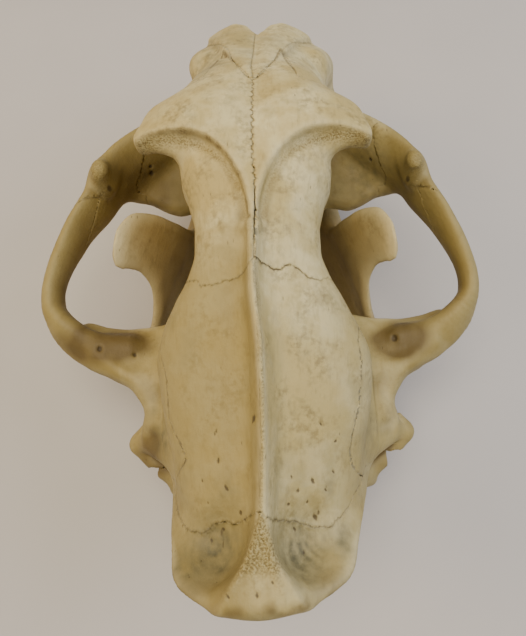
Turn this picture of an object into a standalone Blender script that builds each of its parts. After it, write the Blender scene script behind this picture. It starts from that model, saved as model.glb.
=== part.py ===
"""Leopard skull with its lower jaw in place, life size, as a still model.

Lengths are in millimetres. x runs from the mid plane to a side, s runs forward along the skull
from the rear of the nuchal crest, and z runs up from the table. The cranium and the jaw are each
worked out as one rounded form: simple bodies, each a distance to its surface, are melted together
on a grid, and the surface is read off where that distance is zero. The cranium is then parted at
its sutures with thin cuts, and the teeth are fused to their bones.
In the finished model the snout points to -Y and the skull's left side is at +X.
"""
import bmesh
import bpy
import numpy as np
from mathutils import Matrix, Vector

# Driving dimensions
SKULL_LENGTH = 235.0        # nuchal crest to the front of the premaxilla
ARCH_WIDTH = 155.0          # across the zygomatic arches
BRAINCASE_WIDTH = 67.0
MUZZLE_WIDTH = 55.0         # across the roots of the canines
PROCESS_WIDTH = 71.0        # across the postorbital processes
CREST_HEIGHT = 111.0        # top of the sagittal crest above the table
PALATE_HEIGHT = 46.0        # hard palate above the table, at the carnassial teeth
PALATE_SLOPE = 0.07         # fall of the palate towards the front, mm per mm
JAW_DEPTH = 31.0            # depth of the jaw's body under the carnassial teeth
JAW_JOINT = (44.0, 72.0, 47.0)
CONDYLE_RADIUS = 5.4
UPPER_CANINE = 37.0         # crown heights
LOWER_CANINE = 30.0
JAW_SPLAY = 1.0             # degrees that the left half of the jaw stands further out
JAW_PIVOT_S = 226.0         # about the chin
SNOUT_LEAN = 1.0            # how far the snout, the rear and the crest lean to the skull's right
REAR_LEAN = 1.4
CREST_LEAN = 0.4            # beyond the rear's own
GAP = 0.3                   # between bones that meet
CENTRE_S = 117.0            # the s that lies over the origin
MM = 0.001

# How finely the forms are read off, and how many triangles each keeps
GRID = 1.5
CRANIUM_TRIANGLES = 7700
JAW_TRIANGLES = 1500

BONE = (0.63, 0.53, 0.36)


# Distances and curves

def melt(a, b, k):
    """The smaller of two distances, rounded where they differ by less than k."""
    if k <= 0:
        return np.minimum(a, b)
    near = np.maximum(k - np.abs(a - b), 0) / k
    return np.minimum(a, b) - near * near * k / 4


def meet(a, b, k):
    """The larger of two distances, rounded in the same way."""
    return -melt(-a, -b, k)


def along(knots, s):
    """A curve through (s, value) knots that never overshoots them, and is flat past its ends."""
    x, y = np.asarray(knots, float).T
    h = np.diff(x)
    slope = np.diff(y) / h
    m = np.concatenate([slope[:1], np.zeros(len(x) - 2), slope[-1:]])
    w1, w2 = 2 * h[1:] + h[:-1], h[1:] + 2 * h[:-1]
    for i in np.flatnonzero(slope[:-1] * slope[1:] > 0):
        m[i + 1] = (w1[i] + w2[i]) / (w1[i] / slope[i] + w2[i] / slope[i + 1])
    s = np.clip(s, x[0], x[-1])
    i = np.clip(np.searchsorted(x, s, side="right") - 1, 0, len(x) - 2)
    t = (s - x[i]) / h[i]
    return ((1 + 2 * t) * (1 - t) ** 2 * y[i] + t * (1 - t) ** 2 * h[i] * m[i]
            + t * t * (3 - 2 * t) * y[i + 1] + t * t * (t - 1) * h[i] * m[i + 1])


def curve_through(points, per=4, closed=False):
    """Catmull-Rom curve through points, with per steps from one to the next."""
    p = np.asarray(points, float)
    n = len(p)
    if closed:
        ring = np.vstack([p[-1:], p, p[:2]])
        u = np.arange(n * per) / per
    else:
        ring = np.vstack([2 * p[0] - p[1], p, 2 * p[-1] - p[-2], p[-1]])
        u = np.arange((n - 1) * per + 1) / per
    i = u.astype(int)
    t = (u - i)[:, None]
    a, b, c, d = (ring[np.minimum(i + k, len(ring) - 1)] for k in range(4))
    ease = 0.42
    m1, m2 = ease * (c - a), ease * (d - b)
    return ((2 * t**3 - 3 * t**2 + 1) * b + (t**3 - 2 * t**2 + t) * m1
            + (3 * t**2 - 2 * t**3) * c + (t**3 - t**2) * m2)


def outline_distance(a, b, points):
    """Distance in a plane to a closed outline, negative inside it."""
    best = np.full(np.broadcast(a, b).shape, 1e9, np.float32)
    inside = np.zeros(best.shape, bool)
    for (ax, ay), (bx, by) in zip(points, np.roll(points, -1, 0)):
        ex, ey = bx - ax, by - ay
        t = np.clip(((a - ax) * ex + (b - ay) * ey) / (ex * ex + ey * ey + 1e-12), 0, 1)
        best = np.minimum(best, (a - ax - t * ex) ** 2 + (b - ay - t * ey) ** 2)
        if ay != by:
            inside ^= ((ay > b) != (by > b)) & (a < (bx - ax) * (b - ay) / (by - ay) + ax)
    return np.where(inside, -1, 1) * np.sqrt(best)


# Simple bodies. Each is (lowest corner, highest corner, distance of x, s and z).

def ball(centre, radii, turn=0.0, tip=0.0):
    """Ellipsoid, turned about z and then tipped about x, in degrees."""
    c, r = np.asarray(centre, float), np.asarray(radii, float)
    ct, st, cp, sp = (f(np.radians(v)) for v in (turn, tip) for f in (np.cos, np.sin))
    about_z = np.array([[ct, -st, 0], [st, ct, 0], [0, 0, 1]])
    about_x = np.array([[1, 0, 0], [0, cp, -sp], [0, sp, cp]])
    m = about_x @ about_z
    reach = np.sqrt(((m * r) ** 2).sum(1))

    def distance(x, s, z):
        p = (x - c[0], s - c[1], z - c[2])
        own = [sum(m[j, i] * p[j] for j in range(3)) for i in range(3)]
        k0 = np.sqrt(sum((v / w) ** 2 for v, w in zip(own, r)))
        k1 = np.sqrt(sum((v / w ** 2) ** 2 for v, w in zip(own, r))) + 1e-6
        return k0 * (k0 - 1) / k1
    return c - reach, c + reach, distance


def rod(points, per=4):
    """Rod on a curve. A point is (x, s, z, half width) or (x, s, z, half width, half height, up)."""
    rows = [[*p[:4], p[4] if len(p) > 4 else p[3], *(p[5] if len(p) > 5 else (0, 0, 1))]
            for p in points]
    p = curve_through(rows, per)
    widest = p[:, 3:5].max()

    def distance(x, s, z):
        best = np.full(np.broadcast(x, s, z).shape, 1e3, np.float32)
        axes = (x.ravel(), s.ravel(), z.ravel())
        for q0, q1 in zip(p[:-1], p[1:]):
            reach = max(*q0[3:5], *q1[3:5]) + 8
            low, high = np.minimum(q0[:3], q1[:3]) - reach, np.maximum(q0[:3], q1[:3]) + reach
            cut = tuple(slice(*np.searchsorted(a, [l, h])) for a, l, h in zip(axes, low, high))
            X, S, Z = axes[0][cut[0], None, None], axes[1][None, cut[1], None], axes[2][cut[2]]
            if 0 in (X.size, S.size, Z.size):
                continue
            e = q1[:3] - q0[:3]
            t = ((X - q0[0]) * e[0] + (S - q0[1]) * e[1] + (Z - q0[2]) * e[2]) / (e @ e + 1e-9)
            t = np.clip(t, 0, 1)
            d = (X - q0[0] - t * e[0], S - q0[1] - t * e[1], Z - q0[2] - t * e[2])
            wide, tall = q0[3] + t * (q1[3] - q0[3]), q0[4] + t * (q1[4] - q0[4])
            up = (q0[5:8] + q1[5:8]) / 2
            up = up - e * (up @ e) / (e @ e + 1e-9)
            up = up / (np.linalg.norm(up) + 1e-9)
            rise = sum(v * w for v, w in zip(d, up))
            side2 = np.maximum(sum(v * v for v in d) - rise * rise, 0)
            k0 = np.sqrt(side2 / wide ** 2 + (rise / tall) ** 2)
            k1 = np.sqrt(side2 / wide ** 4 + rise * rise / tall ** 4) + 1e-6
            best[cut] = np.minimum(best[cut], k0 * (k0 - 1) / k1)
        return best
    return p[:, :3].min(0) - widest, p[:, :3].max(0) + widest, distance


def hull(width, top, bottom, power):
    """Body along s with a superellipse section: half width, top and bottom are (s, value) knots."""
    width, top, bottom = (np.asarray(k, float) for k in (width, top, bottom))
    s0, s1 = width[0, 0], width[-1, 0]
    power = power if isinstance(power, list) else [(s0, power), (s1, power)]

    def distance(x, s, z):
        w, t, b, p = along(width, s), along(top, s), along(bottom, s), along(power, s)
        h, c = (t - b) / 2, (t + b) / 2
        qx, qz = np.abs(x / w), np.abs((z - c) / h)
        k0 = (qx ** p + qz ** p + 1e-9) ** (1 / p)
        steep = np.sqrt((qx ** (p - 1) / w) ** 2 + (qz ** (p - 1) / h) ** 2)
        d = (k0 - 1) / (steep * np.maximum(k0, 0.05) ** (1 - p) + 1e-4)
        d = np.maximum(d, -np.minimum(w, h))
        return meet(d, np.maximum(s0 - s, s - s1) + 0 * d, 3.0)
    low = (-width[:, 1].max(), s0, bottom[:, 1].min())
    return np.array(low), np.array((width[:, 1].max(), s1, top[:, 1].max())), distance


def plate(outline, lower, upper, span, seen="above", edge=1.5):
    """Plate with a closed outline seen from above (x, s) or from the side (s, z).

    lower and upper give its two faces over that outline, span the range that they keep to,
    and edge how far its rim is rounded.
    """
    p = curve_through(outline, closed=True)
    i, j, n = (0, 1, 2) if seen == "above" else (1, 2, 0)
    low, high = np.empty(3), np.empty(3)
    low[[i, j]], high[[i, j]] = p.min(0), p.max(0)
    low[n], high[n] = span

    def distance(*c):
        flat = meet(c[n] - upper(c[i], c[j]), lower(c[i], c[j]) - c[n], edge)
        return meet(flat, outline_distance(c[i], c[j], p) + 0 * flat, edge)
    return low, high, distance


class Form:
    """A solid melted together on a grid of distances."""

    def __init__(self, low, high, step):
        self.step = step
        self.axes = [np.arange(np.floor(a / step), np.ceil(b / step) + 1) * step
                     for a, b in zip(low, high)]
        self.distance = np.full([len(a) for a in self.axes], 20.0, np.float32)

    def change(self, body, rule, k):
        low, high, distance = body
        cut = []
        for axis, a, b in zip(self.axes, low, high):
            i, j = np.searchsorted(axis, [a - k - 3 * self.step, b + k + 3 * self.step])
            cut.append(slice(i, j))
        x, s, z = (a[c] for a, c in zip(self.axes, cut))
        d = distance(x[:, None, None], s[None, :, None], z[None, None, :])
        self.distance[tuple(cut)] = rule(self.distance[tuple(cut)], d.astype(np.float32), k)

    def join(self, body, k=0.0):
        self.change(body, melt, k)

    def carve(self, body, k=0.0):
        self.change(body, lambda a, d, k: meet(a, -d, k), k)

    def trim(self, distance):
        """Keep what lies where distance(x, s, z) is negative."""
        x, s, z = self.axes
        d = distance(x[:, None, None], s[None, :, None], z[None, None, :])
        self.distance = np.maximum(self.distance, d.astype(np.float32))


def settle(v):
    """Fill grid squares that are solid at two opposite corners only, where a surface would pinch."""
    for first, second in ((0, 1), (0, 2), (1, 2)) * 3:
        w = np.moveaxis(v, (first, second), (0, 1))
        corner = (w[:-1, :-1], w[1:, 1:], w[1:, :-1], w[:-1, 1:])
        a, b, c, d = (q < 0 for q in corner)
        pinched = (a & b & ~c & ~d) | (~a & ~b & c & d)
        for q in corner:
            q[pinched] = np.minimum(q[pinched], -0.1)


def surface(form, mirrored=False):
    """Points and faces of the zero surface: one point in each grid cell that it crosses."""
    v = form.distance
    ax = list(form.axes)
    if mirrored:
        mid = int(np.argmin(np.abs(ax[0])))
        v = np.concatenate([v[:mid:-1], v[mid:]])
        ax[0] = np.concatenate([-ax[0][:mid:-1], ax[0][mid:]])
    v = np.pad(v, 1, constant_values=20.0)
    settle(v)
    inside = v < 0
    n = np.array(v.shape) - 1
    corners = [(i, j, k) for i in (0, 1) for j in (0, 1) for k in (0, 1)]
    count = sum(inside[i:i + n[0], j:j + n[1], k:k + n[2]].astype(np.int8) for i, j, k in corners)
    cells = np.argwhere((count > 0) & (count < 8))
    number = np.full(n, -1)
    number[tuple(cells.T)] = np.arange(len(cells))
    value = {c: v[tuple((cells + c).T)] for c in corners}
    total, hits = np.zeros((len(cells), 3)), np.zeros(len(cells))
    for c in corners:
        for axis in (m for m in range(3) if not c[m]):
            step = np.eye(3)[axis]
            a, b = value[c], value[tuple((np.array(c) + step).astype(int))]
            crossed = (a < 0) != (b < 0)
            t = np.where(crossed, a / np.where(crossed, a - b, 1), 0)
            total += crossed[:, None] * (np.array(c) + t[:, None] * step)
            hits += crossed
    start = np.array([a[0] for a in ax]) - form.step
    points = start + (cells + total / hits[:, None]) * form.step
    faces = []
    for axis in range(3):
        o = [m for m in range(3) if m != axis]
        a, b = inside.take(range(n[axis]), axis), inside.take(range(1, n[axis] + 1), axis)
        for turned, hit in ((False, a & ~b), (True, b & ~a)):
            edge = np.argwhere(hit)
            quad = []
            for d0, d1 in ((1, 1), (0, 1), (0, 0), (1, 0)):
                cell = edge.copy()
                cell[:, o[0]] -= d0
                cell[:, o[1]] -= d1
                quad.append(number[tuple(cell.T)])
            quad = np.stack(quad, 1)
            faces.append(quad[:, ::-1] if turned != (axis == 1) else quad)
    return points, np.concatenate(faces)


# The cranium, bone by bone

def palate(s):
    """Height of the hard palate."""
    return PALATE_HEIGHT - PALATE_SLOPE * (s - 150)


def braincase():
    half = BRAINCASE_WIDTH / 2
    width = [(s, half * share) for s, share in (
        (6, 0.30), (12, 0.47), (20, 0.63), (30, 0.78), (42, 0.89), (55, 0.97), (64, 1.0),
        (72, 0.935), (80, 0.81), (88, 0.665), (95, 0.59), (102, 0.585), (110, 0.64), (124, 0.72))]
    top = [(6, 82), (14, 84), (24, 87.5), (38, 91.5), (52, 95.5), (66, 98.5), (80, 101), (104, 106.5),
           (124, 109)]
    bottom = [(6, 60), (14, 52), (24, 48), (40, 46), (60, 47), (74, 51), (84, 57), (104, 72),
              (124, 78)]
    return hull(width, top, bottom, [(6, 2.0), (60, 2.05), (95, 2.5), (124, 2.6)])


def skull_base():
    """Floor of the braincase, from the foramen magnum to the palate."""
    width = [(22, 15), (40, 14), (70, 15), (90, 12), (105, 11), (125, 12), (140, 15), (150, 18)]
    top = [(22, 70), (60, 70), (100, 90), (150, 95)]
    bottom = [(22, 47), (40, 44.5), (60, 45.5), (80, 47.5), (100, 49), (150, 48)]
    return hull(width, top, bottom, 3.0)


def occiput():
    width = [(7, 14), (12, 18), (22, 23), (32, 25)]
    top = [(7, 88), (12, 87), (32, 88)]
    bottom = [(7, 74), (11, 62), (16, 52), (24, 46), (32, 45)]
    return hull(width, top, bottom, 2.3)


def sagittal_crest():
    """Thin keel on the mid plane, spreading to a triangle at the back."""
    top = [(0, 95), (12, 96.5), (25, 100.3), (40, 105), (55, 109), (68, CREST_HEIGHT),
           (80, CREST_HEIGHT + 0.4), (92, 109.8)]
    outline = [(92, 84), (96, 108), (90, 110.2), (80, CREST_HEIGHT + 0.4), (68, CREST_HEIGHT),
               (55, 109), (40, 105), (25, 100.3), (12, 96.5), (4, 94.5), (3, 91), (10, 78), (40, 80)]

    def half(s, z):
        flat = along([(2, 9), (8, 6.3), (14, 3.4), (20, 1.9), (26, 1.3), (96, 1.2)], s)
        return flat + 0.14 * np.maximum(along(top, s) - z, 0) ** 1.2
    return plate(outline, lambda s, z: -half(s, z), half, (-14, 14), seen="side", edge=1.2)


def nuchal_crest():
    """Collar round the back of the skull, from the mid plane down to the ear."""
    rim = [(-6, 5.4, 90.4, 2.2, 4.5, (0, .75, -.66)), (0, 4.2, 91.4, 2.4, 4.5, (0, .75, -.66)),
           (6, 5.2, 90, 2.2, 4.5, (0, .75, -.66)), (12.8, 6.7, 87.1, 2.0, 5, (-.3, .7, -.6)),
           (17.7, 9.3, 83.3, 1.9, 5.5, (-.6, .6, -.5)), (19.8, 14, 78.5, 1.9, 5.3, (-.8, .5, -.35)),
           (21.4, 19, 73, 2.0, 5.2, (-.9, .4, -.3)), (23.2, 24.2, 66.5, 2.2, 4.9, (-.95, .3, -.2)),
           (25.6, 29.3, 59.5, 2.4, 4.5, (-.9, .3, 0)), (28.5, 34, 53, 2.6, 4, (-.8, .4, .2))]
    return rod(rim)


def mastoid():
    return rod([(26, 40, 58, 6.5), (34, 42.5, 52, 5), (41, 44.8, 46.5, 3.8), (47.4, 45, 41.8, 3.2)])


def mastoid_foot():
    """Rugged lower edge from the mastoid's tip round to the paroccipital process."""
    return rod([(44.6, 49.3, 43.5, 2.6), (47.3, 45.2, 41.6, 3.2), (44.4, 41.7, 41, 3.2),
                (41, 38.8, 40.5, 3.4), (37.4, 36, 40, 3.7), (32.5, 34, 40, 4), (26, 35, 43, 5)])


def paroccipital():
    return rod([(23.5, 33, 50, 5), (29.5, 31, 42, 4.2), (34.2, 30, 35.8, 2.6)])


def ear_bulla():
    return ball((22.5, 47, 40), (10.5, 17, 12.5), turn=-14)


def condyles():
    """The rounded seats on either side of the foramen magnum."""
    return [ball((11.5, 25.5, 50.5), (8, 7.5, 9.5), turn=-25, tip=20), ball((6, 31, 46.5), (7, 9, 4.5))]


def squamosal():
    """Shelf between the braincase, the arch's root and the mastoid."""
    outline = [(20, 84), (38, 83), (44, 80), (44, 62), (40, 56), (40, 48), (34, 44), (22, 36)]

    def top(x, s):
        return 62 - 0.34 * np.maximum(x - 28, 0) - 0.12 * np.maximum(s - 60, 0)
    return plate(outline, lambda x, s: 44 + 0 * x * s, top, (42, 66), edge=4)


def shelf_ridge():
    """Sharp rim from the back of the arch to the mastoid."""
    upright = (0, 0, 1)
    return rod([(58, 72.5, 57.5, 2, 4.5, upright), (52, 68.5, 57, 2, 5, upright),
                (46, 64, 55.5, 2, 5, upright), (42, 58, 53.5, 2, 5, upright),
                (40.8, 53, 51.5, 2, 4.5, upright), (42.2, 48.5, 49.5, 2, 4.2, upright),
                (41.3, 44.5, 48.5, 2, 3.8, upright), (36, 41.5, 50, 2.2, 3.6, upright),
                (29, 37, 54, 2.4, 3.8, upright)])


def jaw_socket():
    """Plate over the jaw joint."""
    outline = [(28, 82.5), (40, 83.8), (50, 84.2), (58, 85.5), (66, 88), (70, 84), (66, 75),
               (60, 69), (50, 65), (36, 62), (26, 66)]

    def top(x, s):
        return 60.5 - 0.33 * np.maximum(s - 66, 0) - 0.03 * (x - 40)
    return plate(outline, lambda x, s: top(x, s) - 6.5, top, (44, 64), edge=3)


def socket_rear():
    """Bar that keeps the jaw's condyle from slipping back."""
    upright = (0, 0, 1)
    return rod([(27, 64.5, 48, 3, 5, upright), (36, 63.5, 46, 2.6, 6, upright),
                (46, 64.9, 46, 2.4, 5.5, upright), (53.5, 67.8, 49.5, 2.2, 4.5, upright)])


def condyle(room=0.0, play=0.0):
    """Barrel across the rear of the jaw, or with room and play the hollow that it turns in."""
    x, s, z = JAW_JOINT
    r = CONDYLE_RADIUS + room
    return rod([(x - 16 - play, s + 0.5, z - 2.5, r - 1.2), (x - 8 - play, s, z - 0.5, r),
                (x + 4 + play, s, z, r), (x + 12.5 + play, s + 2, z - 0.5, r - 1.4)])


def ramus_room():
    """Hollow over the notch of the jaw, in front of the condyle."""
    upright = (0, 0, 1)
    return rod([(42.5, 72, 40.5, 9.5, 6.5, upright), (42.5, 78, 44.5, 9.5, 6.5, upright),
                (42.5, 84, 47, 9.5, 6.5, upright), (42.5, 92, 51.5, 9.5, 6.5, upright)])


def zygomatic_arch():
    """The cheek's arch, from the maxilla round to the jaw's socket."""
    out = ARCH_WIDTH / 2 - 2.9
    lean_in = (-.12, 0, 1)
    return rod([(32, 164, 64, 5, 10, (0, .3, 1)), (39.8, 156.6, 66, 4.8, 11.5, (.05, .3, 1)),
                (46.8, 149.8, 67.3, 4.6, 12, (.08, .2, 1)), (53.2, 142.6, 68.3, 4.4, 12, (.08, .15, 1)),
                (57.5, 135, 68.9, 3.9, 11.4, (.05, .1, 1)), (60.6, 127.3, 68.6, 3.7, 10.4, (.05, 0, 1)),
                (65.8, 118.7, 67.8, 3.5, 9.2, (0, 0, 1)), (69.6, 110.4, 66.8, 3.6, 8, (-.06, 0, 1)),
                (out - 2, 102.5, 65.4, 3.5, 7, lean_in), (out - .6, 95.5, 64, 3.4, 6.4, lean_in),
                (out - 1.2, 88.8, 62.2, 3.7, 7, (-.12, .12, 1)), (69.6, 82.4, 60.2, 4.5, 7.6, (-.12, .38, 1)),
                (64, 77.8, 58.6, 4.9, 7, (-.08, .6, 1)), (57, 75.6, 57.6, 5.2, 6, (0, .6, 1)),
                (48, 75, 56.6, 5.2, 5.5, (0, .6, 1))])


def jugal_process():
    """Blunt knob of the cheek bone behind the eye."""
    forward = (0, 1, 0)
    return rod([(56, 134.2, 75, 3.3, 5.8, forward), (56, 133.4, 80, 3.1, 4.7, forward),
                (55.3, 132.8, 83.8, 2.8, 3.6, forward)])


def orbit_floor():
    outline = [(18, 170), (34, 168), (44, 160), (52, 150), (56, 141), (52, 137.5), (46, 136.5),
               (40, 134), (34, 133), (26, 134.5), (14, 131)]

    def top(x, s):
        return 54 + 0.18 * (s - 132) + 0.22 * np.maximum(x - 38, 0)
    return plate(outline, lambda x, s: 46.5 + 0.35 * np.maximum(x - 36, 0) + 0 * s, top, (42, 72), edge=4)


def inner_orbit():
    """Wall between the two eye sockets."""
    width = [(118, 21), (128, 21), (138, 19.5), (148, 20), (158, 22)]
    top = [(118, 106), (138, 106), (158, 100)]
    return hull(width, top, [(118, 62), (158, 50)], 3.0)


def muzzle():
    half = MUZZLE_WIDTH / 2
    width = [(s, half * share) for s, share in (
        (130, .62), (142, .76), (152, .91), (160, .98), (170, .985), (180, .985), (190, 1.0),
        (198, .98), (206, .90), (213, .74), (219, .53), (225, .47), (230, .42), (SKULL_LENGTH, .28))]
    top = [(130, 108), (142, 104.5), (150, 101.5), (160, 98), (170, 94.5), (180, 90), (190, 85.5),
           (198, 81), (204, 77), (210, 70.5), (218, 62), (226, 54), (SKULL_LENGTH, 48)]
    bottom = [(s, palate(s) + rise) for s, rise in ((130, 1), (190, 0), (220, 1), (SKULL_LENGTH, 2))]
    return hull(width, top, bottom, [(130, 2.6), (165, 2.5), (190, 2.45), (215, 2.3), (235, 2.2)])


def tooth_row_bone():
    """Bone round the roots of the cheek teeth."""
    return rod([(25.5, 199, palate(199) + 5, 6), (28.5, 190, palate(190) + 5, 6.3),
                (31, 180, palate(180) + 5, 6.3), (34, 169, palate(169) + 4.5, 6.3),
                (36.5, 157, palate(157) + 4, 6), (34.5, 148.5, palate(148) + 4, 5)])


def canine_root():
    return rod([(24, 209, 46, 7.2), (24.4, 203, 56, 7.2), (24, 195, 67, 6.4), (22.5, 186, 77, 5)])


def nasals():
    """Roof of the nose: two shallow domes, lobed and flared at the front."""
    outline = [(-1, 150), (0, 150), (3.5, 160), (9, 172), (12.5, 180), (15.5, 190), (18.8, 197),
               (21.6, 202.6), (16.8, 206.8), (10.4, 209.4), (4.8, 207), (1.6, 200), (-1, 197)]

    def top(x, s):
        ridge = along([(150, 106.2), (158, 102.6), (166, 98.6), (176, 93.4), (186, 88.6), (194, 84.8),
                       (200, 81.6), (208, 77.6)], s)
        side = along([(150, 3), (165, 9), (180, 16), (200, 21)], s)
        return ridge + 1.5 * np.sin(np.clip(x / side, 0, 1) * np.pi) - 0.008 * x ** 2
    return plate(outline, lambda x, s: top(x, s) - 6, top, (66, 108))


def forehead():
    """Flat top of the frontal bones, out to the rims of the orbits and back to the crest."""
    tip = PROCESS_WIDTH / 2
    outline = [(-3, 86), (0, 86), (.8, 95), (1.7, 102.5), (3.8, 110.6), (8.4, 118.4), (13.8, 123.8),
               (19.5, 126.4), (25.5, 127.6), (31, 127.8), (tip - .6, 126.4), (tip + .9, 128),
               (tip + .7, 131.4), (35.6, 135), (34.4, 139.4), (31.4, 143.8), (27.6, 147.4),
               (24.4, 151.5), (22.8, 157), (21.5, 164), (18, 172), (10, 172), (-3, 160)]

    def top(x, s):
        middle = along([(86, 109.8), (96, 109.4), (106, 110.2), (118, 111.2), (128, 111.4), (138, 110),
                        (148, 107.2), (158, 103.2), (172, 95.4)], s)
        dome = along([(90, 0), (106, .4), (120, 1.4), (135, 2), (150, 1.4), (170, .6)], s)
        edge = along([(88, 6), (106, 10), (116, 18), (126, 34), (140, 33), (148, 27), (155, 23),
                      (172, 20)], s)
        fall = along([(88, 0), (110, 1.2), (124, 4.5), (140, 5), (155, 5), (172, 6)], s)
        r = np.clip(np.abs(x) / edge, 0, 1.3)
        return middle + dome * np.sin(np.clip(r, 0, 1) * np.pi) - fall * r ** 2.6

    def bottom(x, s):
        return top(x, s) - along([(88, 7), (110, 8), (124, 6), (150, 9)], s)
    return plate(outline, bottom, top, (84, 115))


def postorbital_process():
    return rod([(20, 130.5, 102, 8, 6), (28, 129.8, 103, 5, 4.2), (33.4, 128.6, 102.6, 2.6, 3.2)])


def eye_socket():
    return ball((35, 143.5, 84.5), (17, 16.5, 15.5), turn=12)


def nasal_notch():
    """Gap between the free ends of the nasal bones."""
    outline = [(-2, 196), (0, 196.6), (1.4, 201), (3, 206), (5, 211), (5, 217), (-2, 217)]
    return plate(outline, lambda x, s: 64 + 0 * x * s, lambda x, s: 92 + 0 * x * s, (64, 92), edge=.6)


def nose_opening():
    return rod([(4, 234, 60, 9), (5, 214, 62, 12), (5, 199, 64, 11.5), (5, 182, 66, 8)])


def cheek_canal():
    """Oval opening under the front of the orbit."""
    upright = (0, 0, 1)
    return rod([(41, 181, 72, 3.6, 5, upright), (31, 168, 71, 3.4, 4.6, upright),
                (30, 152, 70, 3.4, 4.6, upright)])


def cranium_form(step):
    """Half of the cranium, from the mid plane to the skull's side."""
    form = Form((0, -8, 22), (84, SKULL_LENGTH + 5, 118), step)
    form.join(braincase())
    for body, k in ((occiput(), 6), (skull_base(), 8), (squamosal(), 10), (inner_orbit(), 8),
                    (muzzle(), 8)):
        form.join(body, k)
    form.carve(eye_socket(), 3)
    for body, k in ((forehead(), 2.5), (postorbital_process(), 4), (orbit_floor(), 7),
                    (tooth_row_bone(), 6), (canine_root(), 6), (nasals(), 2.5), (sagittal_crest(), 4),
                    (nuchal_crest(), 7), (zygomatic_arch(), 6), (jugal_process(), 5),
                    (jaw_socket(), 5), (socket_rear(), 3), (shelf_ridge(), 5), (mastoid(), 4), (mastoid_foot(), 1.5),
                    (ear_bulla(), 3), (paroccipital(), 4)):
        form.join(body, k)
    for body in condyles():
        form.join(body, 3)
    form.carve(ball((0, 20, 57.5), (10.5, 16, 7.5)), 2)
    form.carve(ball((13, 16, 90), (7, 8.5, 6.8)), 4)
    form.carve(nose_opening(), 2)
    form.carve(nasal_notch(), 1.5)
    form.carve(cheek_canal(), 1.5)
    form.carve(ball((0, 180, 32), (20, 46, 14.5)), 4)
    form.carve(rod([(44, 53.5, 44, 2.6), (30, 51, 44, 2.6)]), 1)
    form.carve(condyle(room=1.6, play=3.2), 0.5)
    form.carve(ramus_room(), 0.5)
    return form


# The lower jaw

JAW_OUTLINE = [(226, 28), (224, 20), (217.5, 9), (208, 3.4), (197, 1.2), (185, -.7), (168, -.9),
               (150, .6), (130, 1.2), (113, -.6), (98, -2.8), (87, -1), (79, 5), (72, 9.5), (69.3, 12.5),
               (71, 16), (77, 21), (79.5, 30), (76.5, 37), (74, 42), (78, 45.5), (84.5, 49.5), (91, 55.5),
               (95.5, 63), (97, 70), (95.8, 75.4), (94.8, 78.8), (95.8, 82), (99.6, 84.7), (107.6, 86.5),
               (115.4, 83), (119.6, 74.5), (122.2, 64.5), (125, 54), (128.4, 45.5), (133, 37.5),
               (140, 32.5), (150, 31),
               (170, 30.5), (190, 29.5), (204, 29), (214, 30.5), (222, 31.5)]


def jaw_middle(s, z):
    """How far out the middle of the jaw bone lies."""
    body = along([(60, 43.5), (75, 43), (90, 40.5), (110, 35.5), (130, 30.8), (150, 26.6), (170, 22.2),
                  (185, 17.7), (195, 14), (205, 11), (215, 9), (226, 7)], s)
    lean = along([(30, 0), (40, -.6), (50, -1.7), (58, -1.3), (66, .4), (74, 2.9), (80, 5.6), (86, 8.2)], z)
    return body + lean * along([(75, .5), (90, 1), (150, 1)], s)


def jaw_bone():
    p = curve_through(JAW_OUTLINE, closed=True)

    def distance(x, s, z):
        half = along([(75, 3), (88, 2), (96, 1.8), (108, 2), (118, 2.8), (126, 3.8), (136, 5),
                      (150, 6.0), (170, 6.2), (185, 6.4), (200, 7.5), (212, 8), (226, 6)], s)
        thick_rim = along([(0, .4), (8, 1), (14, 1), (32, 0)], z)
        half = half + thick_rim * along([(70, 1.4), (95, 2.2), (110, 2.6), (128, 1.6), (150, 0),
                                         (230, 0)], s)
        across = np.abs(x - jaw_middle(s, z)) - half
        flat = outline_distance(s, z, p)
        return meet(across, flat + 0 * across, 6.0)
    low = (-2, p[:, 0].min(), p[:, 1].min())
    return np.array(low), np.array((58, p[:, 0].max(), p[:, 1].max())), distance


def jaw_form(step):
    form = Form((-3, 62, -4), (64, 234, 92), step)
    form.join(jaw_bone())
    form.join(condyle(), 4)
    form.join(rod([(38, 80, 20, 3), (42, 74, 15.5, 3.4), (43.5, 71, 13.5, 2.8)]), 4)
    form.join(rod([(9.5, 206, 11, 7), (11.5, 214, 20, 7), (13, 217.5, 27, 6.2)]), 6)
    form.carve(ball((46.3, 104, 38), (6, 17, 24), turn=4), 4)
    form.trim(lambda x, s, z: GAP / 2 - x + 0 * s * z)
    form.trim(lambda x, s, z: -z + 0 * x * s)
    return form


# Teeth: rings of points carried along a path

def ringed(rings):
    """Points and faces of a closed body through equal rings, each end closed by its own face."""
    rings = np.asarray(rings, float)
    m, n = rings.shape[:2]
    i, j = np.meshgrid(np.arange(m - 1), np.arange(n), indexing="ij")
    a, b = i * n + j, i * n + (j + 1) % n
    quads = np.stack([a, b, b + n, a + n], -1).reshape(-1, 4)
    faces = quads.tolist() + [list(range(n))[::-1], list(range((m - 1) * n, m * n))]
    return rings.reshape(-1, 3), faces


def fang(path, sides=10):
    """Tooth with oval rings. A row of path is (x, s, z, half width, half length)."""
    p = curve_through(path, 2)
    a = np.arange(sides) / sides * 2 * np.pi
    ring = np.stack([np.cos(a), np.sin(a), 0 * a], 1)
    scale = np.stack([p[:, 3], p[:, 4], 0 * p[:, 3]], 1)
    return ringed(p[:, None, :3] + ring[None] * scale[:, None])


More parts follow.
